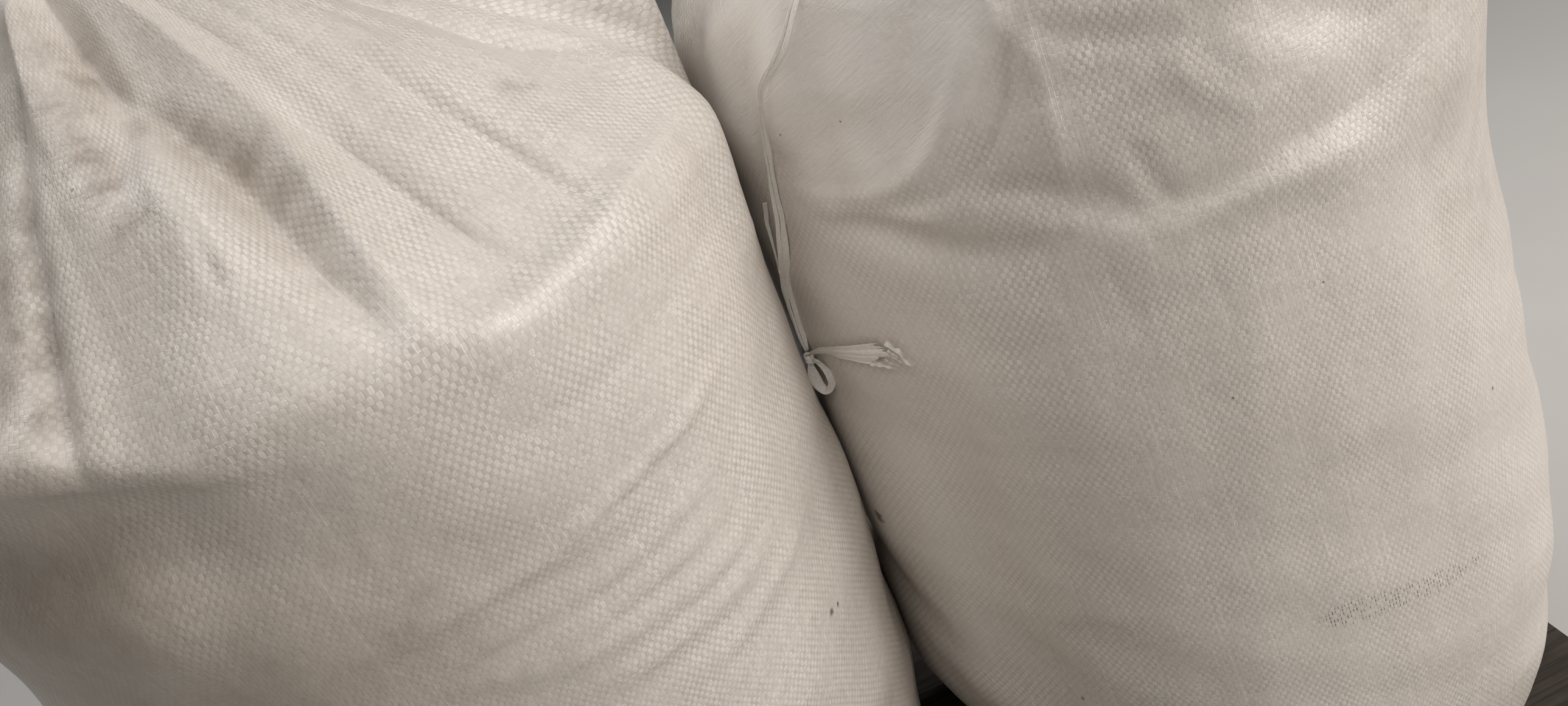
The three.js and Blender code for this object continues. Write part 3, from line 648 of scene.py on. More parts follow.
def unevenness(angle, length, seed):
    """Soft hollows and swells: a sum of waves, each with its own direction, for every
    (height, shortest, longest wave) of the table."""
    random = np.random.default_rng(seed)
    u = np.radians(angle)[None] * SACK_RADIUS
    v = length[:, None]
    total = np.zeros((len(length), len(angle)))
    for height, shortest, longest in UNEVEN_WAVES:
        for _ in range(WAVES):
            wave = random.uniform(shortest, longest)
            turn = random.uniform(0, np.pi)
            around = np.round(SACK_RADIUS * np.cos(turn) * 2 * np.pi / wave) / SACK_RADIUS
            phase = around * u + np.sin(turn) * 2 * np.pi / wave * v
            total += height / 2.6 * np.cos(phase + random.uniform(0, 2 * np.pi))
    return total


def creases(angle, z, seed):
    """Thin ridges left by stacking and handling: short arcs round the sack, each at its own height
    with a slight slope, that fade at both ends."""
    random = np.random.default_rng(seed)
    depth = np.zeros((len(z), len(angle)))
    for _ in range(CREASES):
        centre, height = random.uniform(0, 360), random.uniform(90, 560)
        half, slope = random.uniform(9, 26), random.uniform(-0.5, 0.5)
        off = apart_round(angle, centre)
        away = z[:, None] - height - slope * off[None] - 3 * np.sin(off / 7)[None]
        across = np.abs(away) / random.uniform(2.8, 6)
        depth += random.uniform(-1.1, 1.1) * np.exp(-(across**1.4)) * np.exp(-((off / half) ** 4))
    return depth


def swells_and_ears(sack, angle, z):
    """Broad swellings (angle, height, depth, width in degrees, height span), and the two corners
    that stick out of a sack's foot."""
    depth = np.zeros((len(z), len(angle)))
    for centre, height, deep, wide, tall in sack["swells"]:
        off = apart_round(angle, centre) / wide
        depth += deep * np.exp(-((z[:, None] - height) / tall) ** 2 - off[None] ** 2)
    for centre in sack["ears"]:
        low = EAR_REACH * np.exp(-(((z - EAR_HEIGHT) / 26) ** 2))
        depth += low[:, None] * np.exp(-np.abs(apart_round(angle, centre)) / 9)[None]
    return depth


def add_ruffle(points, sack, angle, z, seed):
    """The mouth over the tie: it flares outwards in waves, and its lip rises and falls."""
    above = np.maximum(z - sack["neck"] - NECK_HALF, 0)
    open_share = smooth(above / RUFFLE_RISE)[:, None]
    random = np.random.default_rng(seed + 2)
    turn = np.radians(angle)
    drift = sum(random.uniform(0.2, 0.5) * np.cos(k * turn + k) for k in (1, 2, 3, 5))
    wave = np.sin(RUFFLES * turn[None] + drift[None] * (1 + above[:, None] / 90))
    wave = np.sign(wave) * np.abs(wave) ** 0.8
    flare = RUFFLE_REACH * open_share * wave
    lip = open_share * (5 * np.cos(3 * turn + seed) - 3)[None] + open_share * 4 * wave
    return points + np.stack([flare * np.cos(turn), flare * np.sin(turn), lip], 2)


def mark_colours(base, on_surface, marks):
    """Grime, stain, open weave and plain film at each point, as soft round spots, the strongest
    one winning. Some grime and stain spots are painted shade, and some plain film spots painted light."""
    tint = np.zeros((*base.shape[:2], 4))
    for at_angle, at_height, size, *strengths in marks:
        centre = on_surface(np.array([at_angle]), np.array([at_height]))[0]
        near = np.exp(-(((base - centre) ** 2).sum(2)) / size**2)
        for k, strength in enumerate(strengths):
            tint[:, :, k] = np.maximum(tint[:, :, k], strength * near)
    return tint


def skin_faces(rings, turn, length):
    """Faces of the skin and their UV map in tape counts: quads between the rings, one fan of
    triangles that closes the foot and another that closes the mouth. The middles of the two fans
    come after the rings."""
    spot = np.arange(COLUMNS)
    after = (spot + 1) % COLUMNS
    last = (rings - 1) * COLUMNS
    middle = np.full(COLUMNS, rings * COLUMNS)
    foot = np.column_stack([middle, after, spot])
    mouth = np.column_stack([last + spot, last + after, middle + 1])
    faces = [part.tolist() for part in (tube_faces(rings, COLUMNS), foot, mouth)]

    tapes = 2 * round(np.pi * SACK_RADIUS / TAPE_PITCH)
    across = np.append(np.degrees(turn) - 90, 360) / 360 * tapes
    along = np.concatenate([length, 2 * length[-1] - length[-1 : -LIP_ROWS - 1 : -1]]) / TAPE_PITCH
    ring, column = np.divmod(np.arange((rings - 1) * COLUMNS), COLUMNS)
    u = np.stack([across[column], across[column + 1], across[column + 1], across[column]], 1)
    v = np.stack([along[ring], along[ring], along[ring + 1], along[ring + 1]], 1)
    maps = [np.stack([u, v], 2)]
    left, right = across[spot], across[spot + 1]
    for sides, ends in (
        ((left + 0.5, right, left), (0, along[0], along[0])),
        ((left, right, left + 0.5), (along[-1], along[-1], along[-1] + 2)),
    ):
        maps.append(np.stack([np.stack(sides, 1), np.tile(ends, (COLUMNS, 1))], 2))
    return sum(faces, []), np.vstack([part.reshape(-1, 2) for part in maps])


def add_sack(name, sack, material, seed):
    """A closed skin: the rows turned about the leaning middle, moved along their normals by the
    folds, pressed flat at the neighbour, and doubled back down inside the open mouth."""
    turn = np.linspace(0, 2 * np.pi, COLUMNS, endpoint=False) + np.pi / 2
    angle = np.degrees(turn - FRONT_CROWDING * np.sin(turn - 1.5 * np.pi))
    r, z, length = cloth_rows(sack)
    side = z > FLAT_FOOT

    def on_surface(at_angle, at_height):
        raised = shoulder_at(sack, at_angle) * shoulder_share(sack, at_height)
        radius = np.interp(at_height - raised, z[side], r[side])
        mx, my = sack_middle(sack, at_height)
        turned = np.radians(at_angle)
        return np.column_stack([mx + radius * np.cos(turned), my + radius * np.sin(turned), at_height])

    lift = rounded(np.tile(shoulder_at(sack, angle), 3), 5)[COLUMNS : 2 * COLUMNS]
    seen_z = z[:, None] - lift[None] * shoulder_share(sack, z)[:, None]
    radius = np.where(side[:, None], np.interp(seen_z, z[side], r[side]), r[:, None])
    cx, cy = sack_middle(sack, z)
    x = cx[:, None] + radius * np.cos(np.radians(angle))
    y = cy[:, None] + radius * np.sin(np.radians(angle))
    base = np.stack([x, y, np.broadcast_to(z[:, None], x.shape)], 2)
    depth = gathers(sack, angle, z, radius, seed)
    for sharpness, path in sack["folds"]:
        depth += fold_across(base, on_surface, sharpness, path)
    depth += creases(angle, z, seed + 5) + swells_and_ears(sack, angle, z)
    firm = smooth((z - 20) / 80) * smooth((sack["neck"] - 10 - z) / 60)
    depth += firm[:, None] * unevenness(angle, length, seed + 1)
    points = base + grid_normals(base) * depth[:, :, None]
    points = add_ruffle(points, sack, angle, z, seed)

    points[:, :, 0] = press_side(sack, points[:, :, 0])
    points[:, :, 2] = np.maximum(points[:, :, 2], 0)
    inside = (points - grid_normals(points) * CLOTH_THICKNESS)[-1 : -LIP_ROWS - 1 : -1]
    points = np.concatenate([points, inside])
    points[:, :, 2] += DECK_TOP + SEAT_GAP
    below = [*sack_middle(sack, 0.0), DECK_TOP + SEAT_GAP]
    within = points[-1].mean(0) - [0, 0, 4]
    vertices = np.vstack([points.reshape(-1, 3), [below], [within]])
    faces, uvs = skin_faces(len(points), turn, length)
    piece = new_mesh(name, vertices, faces, material, uvs)
    tint = mark_colours(base, on_surface, sack["marks"]).reshape(-1, 4)
    spare = np.zeros((len(vertices) - len(tint), 4))
    layer = piece.data.attributes.new("marks", "FLOAT_COLOR", "POINT")
    layer.data.foreach_set("color", np.vstack([tint, spare]).astype(np.float32).ravel())
    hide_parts(name.replace("skin", "sack"))
    return piece


# Shader helpers
class Field:
    """A value that changes over a surface: a node's output, with signs that add Math nodes."""

    def __init__(self, socket):
        self.socket = socket

    def calc(self, operation, *others):
        places = dict(enumerate((self, *others)))
        return field(self.socket.id_data, "Math", places, operation=operation)

    def __add__(self, other):
        return self.calc("ADD", other)

    def __sub__(self, other):
        return self.calc("SUBTRACT", other)

    def __mul__(self, other):
        return self.calc("MULTIPLY", other)

    def __rsub__(self, other):
        return self * -1.0 + other


def feed(socket, value):
    """Links the socket when the value is a Field, and otherwise sets it."""
    if isinstance(value, Field):
        socket.id_data.links.new(value.socket, socket)
    else:
        socket.default_value = value


def put(tree, kind, inputs=None, **settings):
    """Adds a node with its settings first, then its inputs by name or number."""
    made = tree.nodes.new("ShaderNode" + kind)
    for key, value in settings.items():
        setattr(made, key, value)
    for key, value in (inputs or {}).items():
        feed(made.inputs[key], value)
    return made


def field(tree, kind, inputs=None, output=0, **settings):
    return Field(put(tree, kind, inputs, **settings).outputs[output])


def split(value, kind):
    """The parts of a vector (XYZ) or of a colour (Color)."""
    made = put(value.socket.id_data, "Separate" + kind, {0: value})
    return [Field(output) for output in made.outputs]


def remap(value, low, high, to_low=0.0, to_high=1.0, kind="SMOOTHSTEP"):
    places = {0: value, 1: low, 2: high, 3: to_low, 4: to_high}
    return field(value.socket.id_data, "MapRange", places, interpolation_type=kind)


def blend_colour(share, a, b, kind="MIX"):
    tree = next(value.socket.id_data for value in (share, a, b) if isinstance(value, Field))
    return field(tree, "Mix", {0: share, 6: a, 7: b}, 2, data_type="RGBA", blend_type=kind)


def noise(vector, scale, detail=3.0, roughness=0.5, distortion=0.0):
    places = {"Vector": vector, "Scale": scale, "Detail": detail}
    places.update({"Roughness": roughness, "Distortion": distortion})
    return field(vector.socket.id_data, "TexNoise", places, "Fac")


def at_random(number, seed):
    """A tone from 0 to 1 that is the same wherever the number is the same."""
    tree = number.socket.id_data
    return field(tree, "TexWhiteNoise", {"W": number + seed}, "Value", noise_dimensions="1D")


def new_group(name, inputs, outputs):
    """A node group with its inputs (name, kind, value) as Fields by name, and a call that links a
    Field to one of its outputs. Outputs are plain values."""
    group = bpy.data.node_groups.new(name, "ShaderNodeTree")
    for label, kind, value in inputs:
        made = group.interface.new_socket(label, in_out="INPUT", socket_type="NodeSocket" + kind)
        if value is not None:
            made.default_value = value
    for label in outputs:
        group.interface.new_socket(label, in_out="OUTPUT", socket_type="NodeSocketFloat")
    sockets = group.nodes.new("NodeGroupInput").outputs
    entry = {label: Field(sockets[label]) for label, _, _ in inputs}
    results = group.nodes.new("NodeGroupOutput").inputs
    return group, entry, lambda label, value: feed(results[label], value)


def use_group(tree, group, inputs):
    made = put(tree, "Group", inputs, node_tree=group)
    return {output.name: Field(output) for output in made.outputs}


def new_material(name, preview):
    material = bpy.data.materials.new(name)
    material.use_nodes = True
    material.diffuse_color = preview
    tree = material.node_tree
    return material, tree, tree.nodes["Principled BSDF"].inputs


def add_bump(tree, shader, strength, distance, height):
    places = {"Strength": strength, "Distance": distance, "Height": height}
    feed(shader["Normal"], field(tree, "Bump", places))


def weave_group():
    """Plain weave of flat tapes, counted along the UV map. A tape is on top where the sum of the
    two whole counts is even; it lies flat and dives under its neighbours at both ends. Some
    upright tapes have a raised edge for part of their length, painted lighter on the edge and
    darker along the tape's other edge, and some crossings a painted glint. Gap is the slit beside
    an upright tape; Clear says how strongly the painted sheen sets the two directions apart."""
    results = ("Height", "Tone", "Hole", "Upright", "Gap", "Line", "PaintedGlint", "Clear")
    sockets = [("UV", "Vector", None), ("Waver", "Float", 0.1)]
    group, entry, leave = new_group("tape weave", sockets, results)
    place = entry["UV"]
    count_u, count_v, _ = split(place, "XYZ")
    waver = entry["Waver"] * 12.0
    u = (noise(place, 0.045, 2.0) - 0.5) * waver + count_u
    v = (noise(place, 0.06, 2.0) - 0.5) * waver + count_v
    whole_u, whole_v = u.calc("FLOOR"), v.calc("FLOOR")
    part_u, part_v = u.calc("FRACT"), v.calc("FRACT")
    odd = (whole_u + whole_v).calc("PINGPONG", 1.0)
    upright = 1.0 - odd
    across = part_u * upright + part_v * odd
    along = part_v * upright + part_u * odd
    side, tip = across.calc("PINGPONG", 0.5), along.calc("PINGPONG", 0.5)
    crossing = whole_v * CROSSING_STEP + whole_u

    tilt = (across - 0.5) * (at_random(crossing, 0.31) - 0.5)
    tilt = (along - 0.5) * (at_random(crossing, 7.77) - 0.5) + tilt
    stretched = field(group, "CombineXYZ", {0: whole_u * 5.1, 1: v * 0.045})
    present = remap(noise(stretched, 1.0, 1.0), 0.48, 0.58)
    present = present * at_random(whole_u, 17.1).calc("GREATER_THAN", 0.82)
    # painted light on the raised edge and painted shade along the tape's other edge
    line = present * remap(part_u, 0.26, 0.08)
    leave("Line", line - present * remap(part_u, 0.78, 0.94))
    body = tilt * 1.1 + remap(tip, 0.0, 0.32, 0.35, 1.0)
    leave("Height", line * 1.4 + body * remap(side, 0.0, 0.07, 0.8, 1.0))

    tape = at_random(whole_u, 3.3) * upright + at_random(whole_v, 91.7) * odd
    leave("Tone", at_random(crossing, 40.1) * 0.6 + tape * 0.4)
    leave("Hole", remap(side, 0.09, 0.02) * remap(tip, 0.12, 0.03))
    slit = whole_v * CROSSING_STEP + (u + 0.5).calc("FLOOR")
    kept = at_random(slit, 21.7).calc("GREATER_THAN", 0.42)
    gap = remap(u.calc("PINGPONG", 0.5), 0.2, 0.08) * kept
    leave("Gap", gap * remap(v.calc("PINGPONG", 0.5), 0.08, 0.24))
    leave("Upright", upright)
    # a painted glint: a bright speck on some crossings that stands in for a highlight on the glossy tape
    painted_glint = at_random(crossing, 55.5).calc("GREATER_THAN", 0.84) * remap(side, 0.24, 0.12)
    leave("PaintedGlint", painted_glint * remap(tip, 0.08, 0.2))
    leave("Clear", remap(noise(place, 0.05, 3.0, 0.6), 0.36, 0.6, 0.3, 1.0))
    return group


def blemish_group():
    """A soiled spot: 1 at its centre, falling to 0 at its size, its rim broken by noise."""
    sockets = [("Place", "Vector", None), ("Centre", "Vector", (0, 0, 0))]
    sockets += [("Size", "Float", 0.01), ("Grain", "Float", 400.0)]
    group, entry, leave = new_group("blemish", sockets, ["Mask"])
    ends = {0: entry["Place"], 1: entry["Centre"]}
    away = field(group, "VectorMath", ends, "Value", operation="DISTANCE")
    near = 1.0 - away.calc("DIVIDE", entry["Size"])
    rough = noise(entry["Place"], entry["Grain"], 4.0, 0.65)
    leave("Mask", remap((rough - 0.5) * 1.6 + near, 0.1, 0.7))
    return group


def cloth_material(name, specks):
    """Woven film tapes: each tape and each crossing has its own tone and gloss, the corners are
    pinholes, and soiled spots lie where the marks of the mesh and the listed specks are; some of
    the mesh's marks paint shade and some paint light."""
    material, tree, shader = new_material(name, (0.75, 0.7, 0.64, 1))
    place = field(tree, "TexCoord", output="Object")
    uv = field(tree, "UVMap", uv_map="cloth")
    weave = use_group(tree, WEAVE, {"UV": uv, "Waver": 0.1})
    marks = put(tree, "Attribute", attribute_name="marks").outputs
    film = Field(marks["Alpha"])
    grime_and_shade, stain_and_shade, open_weave = split(Field(marks["Color"]), "Color")
    plain = remap(film, 0.4, 0.62)
    woven = 1.0 - plain

    # painted sheen: upright tapes lighter and tapes across darker, as strongly as Clear says
    share = (weave["Upright"] - 0.5) * (weave["Clear"] * woven)
    colour = blend_colour(share + 0.5, CLOTH_ACROSS_PAINTED_DULL, CLOTH_UPRIGHT_PAINTED_SHEEN)
    tone = remap(weave["Tone"], 0.0, 1.0, 0.92, 1.06, "LINEAR")
    # painted highlight on raised tape edges, painted shade beside them
    tone = weave["Line"] * woven * 0.15 + tone
    grain = noise(place, 620.0, 2.0, 0.6)
    tone = tone * remap(grain, 0.3, 0.7, 0.95, 1.05, "LINEAR")
    colour = blend_colour(1.0, colour, tone, "MULTIPLY")
    sparkle = remap(noise(place, 30.0, 2.0), 0.4, 0.62, 0.15, 0.75)
    # painted glints on some crossings, where the sparkle noise lets them through
    colour = blend_colour(weave["PaintedGlint"] * sparkle * woven, colour, PAINTED_GLINT_COLOUR)
    # pale plain film: the flap's smooth film, and painted light down the flank by the gap
    colour = blend_colour(film, colour, FILM_CLOTH_AND_PAINTED_LIGHT)
    cloud = remap(noise(place, 9.0, 4.0, 0.6), 0.35, 0.7, 0.0, 0.16)
    colour = blend_colour(cloud, colour, CLOTH_CLOUD)
    colour = blend_colour(weave["Hole"] * 0.3 * woven, colour, HOLE_COLOUR)

    patchy = remap(noise(place, 60.0, 5.0, 0.7), 0.35, 0.75, 0.25, 1.0)
    # grime and stain: dirt, and at the listed places painted shade
    colour = blend_colour(grime_and_shade * patchy, colour, GRIME_AND_SHADE_COLOUR)
    colour = blend_colour(stain_and_shade, colour, STAIN_AND_SHADE_COLOUR)
    dotted = weave["Gap"] * remap(open_weave, 0.3, 0.5) * remap(grain, 0.35, 0.6, 0.35, 1.0)
    colour = blend_colour(dotted, colour, HOLE_COLOUR)
    dots = put(tree, "TexVoronoi", {"Vector": place, "Scale": 42.0}).outputs
    lucky = split(Field(dots["Color"]), "Color")[0].calc("GREATER_THAN", 0.93)
    fleck = remap(Field(dots["Distance"]), 0.035, 0.02) * lucky
    colour = blend_colour(fleck * 0.6, colour, FLECK_COLOUR)
    for centre, size, grit in specks:
        spot = {"Place": place, "Centre": [c * MM for c in centre], "Size": size * MM, "Grain": grit}
        colour = blend_colour(use_group(tree, BLEMISH, spot)["Mask"] * 0.8, colour, FLECK_COLOUR)
    feed(shader["Base Color"], colour)
    feed(shader["Roughness"], remap(weave["Tone"], 0.0, 1.0, 0.3, 0.46, "LINEAR"))
    feed(shader["Specular IOR Level"], 0.7)

    crinkle = noise(place, 85.0, 4.0, 0.62, 0.4) * CRINKLE_HEIGHT
    tapes = weave["Height"] * woven * WEAVE_HEIGHT
    slant = {"Vector": uv, "Rotation": (0, 0, np.radians(25)), "Scale": (6, 0.62, 1)}
    slanted = field(tree, "Mapping", slant, vector_type="TEXTURE")
    wrinkle = noise(slanted, 1.0, 1.0, 0.5, 0.6) * (plain * WRINKLE_HEIGHT)
    add_bump(tree, shader, 1.0, MM, tapes + crinkle + wrinkle)
    return material


def wood_group():
    """Sawn grain along X of its place: stretched noise for fibres, rings bent round knots, and
    damp patches. Each board number shifts the pattern to another part of the tree."""
    sockets = [("Place", "Vector", None), ("Board", "Float", 0.0)]
    group, entry, leave = new_group("sawn wood", sockets, ["Grain", "Fibre", "Stain"])
    shift = field(group, "CombineXYZ", {0: entry["Board"], 1: entry["Board"] * 0.37})
    moved = field(group, "VectorMath", {0: entry["Place"], 1: shift}, operation="ADD")
    long = field(group, "Mapping", {"Vector": moved, "Scale": (1.6, 26, 26)})
    rings = noise(long, 1.3, 2.0, 0.5, 0.6) * 46.0
    leave("Grain", remap(rings.calc("SINE"), -1.0, 1.0))
    fine = field(group, "Mapping", {"Vector": moved, "Scale": (9, 420, 420)})
    leave("Fibre", noise(fine, 1.0, 4.0, 0.6))
    leave("Stain", noise(moved, 6.0, 5.0, 0.6))
    return group


def wood_material(name, along_y, board):
    """Dark weathered softwood: brown bands, grey fibres and damp stains."""
    material, tree, shader = new_material(name, (0.08, 0.06, 0.045, 1))
    place = field(tree, "TexCoord", output="Object")
    turn = (0, 0, np.pi / 2 if along_y else 0)
    turned = field(tree, "Mapping", {"Vector": place, "Rotation": turn})
    wood = use_group(tree, SAWN_WOOD, {"Place": turned, "Board": board})
    colour = blend_colour(wood["Grain"], WOOD_DARK, WOOD_LIGHT)
    colour = blend_colour(remap(wood["Fibre"], 0.4, 0.7, 0.0, 0.55), colour, WOOD_GREY)
    colour = blend_colour(remap(wood["Stain"], 0.45, 0.7, 0.0, 0.6), colour, WOOD_DAMP)
    feed(shader["Base Color"], colour)
    feed(shader["Roughness"], remap(wood["Fibre"], 0.3, 0.7, 0.72, 0.9))
    add_bump(tree, shader, 0.8, 0.8 * MM, wood["Fibre"] * 0.7 + wood["Grain"] * 0.4)
    return material


def film_material():
    """Split film tape: milky, with fine bright and dark threads along it."""
    material, tree, shader = new_material("film tape", (0.8, 0.77, 0.72, 1))
    uv = field(tree, "UVMap", uv_map="cloth")
    threads = noise(field(tree, "Mapping", {"Vector": uv, "Scale": (9.0, 0.25, 1.0)}), 2.0, 4.0, 0.65)
    feed(shader["Base Color"], blend_colour(remap(threads, 0.35, 0.65), FILM_SHADE, FILM_LIGHT))
    feed(shader["Roughness"], remap(threads, 0.3, 0.7, 0.28, 0.5))
    add_bump(tree, shader, 0.7, 0.3 * MM, threads)
    return material


def steel_material():
    """Nail heads: dull steel with rust where noise is high."""
    material, tree, shader = new_material("nail steel", (0.3, 0.25, 0.2, 1))
    place = field(tree, "TexCoord", output="Object")
    rust = remap(noise(place, 160.0, 5.0, 0.7), 0.4, 0.6)
    feed(shader["Base Color"], blend_colour(rust, STEEL_COLOUR, RUST_COLOUR))
    feed(shader["Metallic"], remap(rust, 0.0, 1.0, 0.9, 0.1))
    feed(shader["Roughness"], remap(rust, 0.0, 1.0, 0.45, 0.9))
    return material


# Film tape
def ribbon(path, width, thickness, curl, twist, up=(0, 0, 1), closed=False, ridge=0.0):
    """A flat strand along a path: an oval, width and thickness across, bent into a shallow trough
    by curl, pleated by ridge, and turned about the path by twist degrees."""
    path = np.asarray(path, float)
    count = len(path)
    ahead = np.roll(path, -1, 0) - np.roll(path, 1, 0) if closed else np.gradient(path, axis=0)
    ahead = unit(ahead)
    side = unit(np.cross(up, ahead))
    top = np.cross(ahead, side)
    spot = np.linspace(0, 2 * np.pi, STRAND_SIDES, endpoint=False)
    length = np.broadcast_to(walked(path)[:, None], (count, STRAND_SIDES))
    a = 0.5 * np.broadcast_to(width, count)[:, None] * np.cos(spot)
    trough = np.broadcast_to(curl, count)[:, None] * (np.cos(spot) ** 2 - 0.5)
    pleat = ridge * np.sin(7.5 * np.cos(spot) + 0.35 * length)
    b = 0.5 * np.broadcast_to(thickness, count)[:, None] * np.sin(spot) + trough + pleat
    turn = np.radians(np.broadcast_to(twist, count))[:, None]
    flat = a * np.cos(turn) - b * np.sin(turn)
    raised = a * np.sin(turn) + b * np.cos(turn)
    rings = path[:, None] + flat[:, :, None] * side[:, None] + raised[:, :, None] * top[:, None]
    uvs = np.stack([np.broadcast_to(spot / (2 * np.pi), length.shape), length], 2)
    whole = count * STRAND_SIDES
    faces = tube_faces(count + closed, STRAND_SIDES) % whole
    ends = [] if closed else [list(range(STRAND_SIDES))[::-1], list(range(whole - STRAND_SIDES, whole))]
    return rings.reshape(-1, 3), faces.tolist() + ends, uvs.reshape(-1, 2)


def film_sheet(upper, lower, folds, seed):
    """A thin closed sheet between two edges: rows along it and columns from edge to edge, folded by
    waves that run along it and grow with its width, its far end torn to uneven lengths."""
    random = np.random.default_rng(seed)
    rows, columns, samples = SHEET_ROWS, SHEET_COLUMNS, 240
    around = 2 * columns
    t = np.linspace(0, 1, columns)
    torn = 1 - 0.07 * random.random(columns) - 0.1 * (0.5 + 0.5 * np.sin(9 * t + 1))
    s = np.linspace(0, 1, rows)[:, None] * torn[None]
    a, b = (
        np.stack([np.interp(s * (samples - 1), np.arange(samples), column) for column in edge.T], 2)
        for edge in (curve_through(upper, samples), curve_through(lower, samples))
    )
    middle = a * (1 - t)[None, :, None] + b * t[None, :, None]
    wide = np.linalg.norm(b - a, axis=2)
    fold = sum(h * np.cos(2 * np.pi * (n * t[None] + p + q * s)) for n, h, p, q in folds)
    crumple = 0.22 * np.sin(31 * s + 17 * t[None]) * np.sin(23 * t[None] - 12 * s)
    lift = (fold + crumple) * np.clip(wide / 12, 0.05, 1)
    front = middle + (lift + SHEET_HALF)[:, :, None] * FACING
    back = (middle + (lift - SHEET_HALF)[:, :, None] * FACING)[:, ::-1]
    rings = np.concatenate([front, back], 1)
    k = np.arange(columns - 1)
    near_end = np.column_stack([k, k + 1, around - 2 - k, around - 1 - k])
    faces = [*tube_faces(rows, around).tolist(), *near_end.tolist()]
    faces += (near_end[:, ::-1] + (rows - 1) * around).tolist()
    across = np.broadcast_to(np.linspace(0, 3, around), (rows, around))
    uvs = np.stack([across, 0 * across + 60 * s[:, :1]], 2)
    return rings.reshape(-1, 3), faces, uvs.reshape(-1, 2)


def film_piece(name, strands, material, node=None):
    """One mesh from several ribbons and sheets; the UV map holds the place round and the length."""
    vertices, faces, uvs = [], [], []
    for points, made, across in strands:
        first = sum(len(v) for v in vertices)
        vertices.append(points)
        faces += [[first + i for i in face] for face in made]
        uvs += [across[i] for face in made for i in face]
    piece = new_mesh(name, np.vstack(vertices), faces, material, uvs)
    if node:
        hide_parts(node)
    return piece


def add_tie(name, sack, material, seed):
    """Film tape wound round the neck: loops of flat strand, each with its own tilt and width."""
    random = np.random.default_rng(seed)
    cx, cy = (float(c) for c in sack_middle(sack, sack["neck"]))
    turn = np.linspace(0, 2 * np.pi, 96, endpoint=False)
    strands = []
    for k in range(TIE_LOOPS):
        height = TIE_HALF * (2 * k / (TIE_LOOPS - 1) - 1) + random.uniform(-0.5, 0.5)
        tilt = random.uniform(-1.3, 1.3) * np.cos(turn + random.uniform(0, 6.3))
        r = TIE_RADIUS + random.uniform(-0.8, 1.6)
        r = r + 0.5 * np.cos(5 * turn + random.uniform(0, 6.3))
        z = DECK_TOP + sack["neck"] + height + tilt
        loop = np.column_stack([cx + r * np.cos(turn), cy + r * np.sin(turn), z])
        wide = random.uniform(2.4, 3.6) + 0.5 * np.cos(7 * turn + k)
        strands.append(ribbon(loop, wide, 1.5, 0.3, 82 + 14 * np.cos(3 * turn + k), closed=True))
    return film_piece(name, strands, material, name.replace("wound_", ""))


def add_tail(material):
    """The right tie's long end: two strands side by side, spread as the table of height and width
    says, and each pleated along its length."""
    route = curve_through(TAIL_ROUTE, 220)
    along = np.linspace(0, 1, len(route))
    side = unit(np.cross(FACING, unit(np.gradient(route, axis=0))))
    heights, spreads = np.array(TAIL_SPREAD[::-1], float).T
    total = np.interp(route[:, 2], heights, spreads)
    strands = []
    for share, hand, phase in ((0.42, -1, 0.0), (0.58, 1, 2.0)):
        path = route + (hand * 0.5 * (1 - share) * total)[:, None] * side
        path = path + (0.35 * hand * np.sin(17 * along))[:, None] * FACING
        width = 1.05 * share * total * (1 + 0.1 * np.sin(43 * along + phase))
        curl = 0.3 * np.sin(31 * along + phase)
        twist = 26 * np.sin(15 * along + phase) + 10 * np.sin(41 * along)
        strands.append(ribbon(path, width, 0.55, curl, twist, FACING, ridge=0.16))
    return film_piece("tape_tail_strands", strands, material, "tape_tail"), route


def knot_turn(axis, size, wide, shift):
    """One short turn of the knot: a ring about its axis, with three soft corners."""
    turn = np.linspace(0, 2 * np.pi, 44, endpoint=False)
    axis = unit(np.array(axis))
    first = unit(np.cross(axis, FACING))
    outward = np.cos(turn)[:, None] * first + np.sin(turn)[:, None] * np.cross(axis, first)
    ring = np.array(KNOT_CENTRE) + shift + outward * (size + 0.25 * np.cos(3 * turn))[:, None]
    return ribbon(ring, wide, 1.3, 0.2, 8 * np.cos(2 * turn), outward, True, 0.18)


def torn_strand(wide, points):
    """A thin strand of the frayed end that narrows to its tip."""
    along = np.linspace(0, 1, 40)
    taper = wide * (1.1 - along**3) * (1 + 0.25 * np.sin(19 * along))
    return ribbon(curve_through(points, 40), taper, 0.5, 0.2, 40 * np.sin(9 * along), FACING, ridge=0.12)


def add_tail_pieces(material):
    """The knot of four short turns, the folded loop under it, the spread tassel with its torn end,
    and a loose strand that leaves the tail higher up."""
    knot = [knot_turn(*row) for row in KNOT_TURNS]
    along = np.linspace(0, 1, 90)
    path = curve_through([point[:3] for point in LOOP_PATH], 90)
    wide = np.interp(along * (len(LOOP_PATH) - 1), range(len(LOOP_PATH)), [p[3] for p in LOOP_PATH])
    loop = ribbon(path, wide, 0.5, 0.5, 20 * np.sin(7 * along), FACING, ridge=0.3)
    tassel = [film_sheet(TASSEL_UPPER, TASSEL_LOWER, TASSEL_FOLDS, 31)]
    tassel += [torn_strand(*row) for row in TASSEL_STRANDS]
    narrow = 1.9 - 0.7 * np.sin(np.linspace(0.5, 5, 60))
    loose = ribbon(curve_through(LOOSE_ROUTE, 60), narrow, 0.45, 0.2, 12, FACING, ridge=0.1)
    return [
        film_piece("knot_turns", knot, material, "tail_knot"),
        film_piece("loop_fold", [loop], material, "tail_loop"),
        film_piece("tassel_sheet", tassel, material, "tail_end"),
        film_piece("loose_strand", [loose], material),
    ]


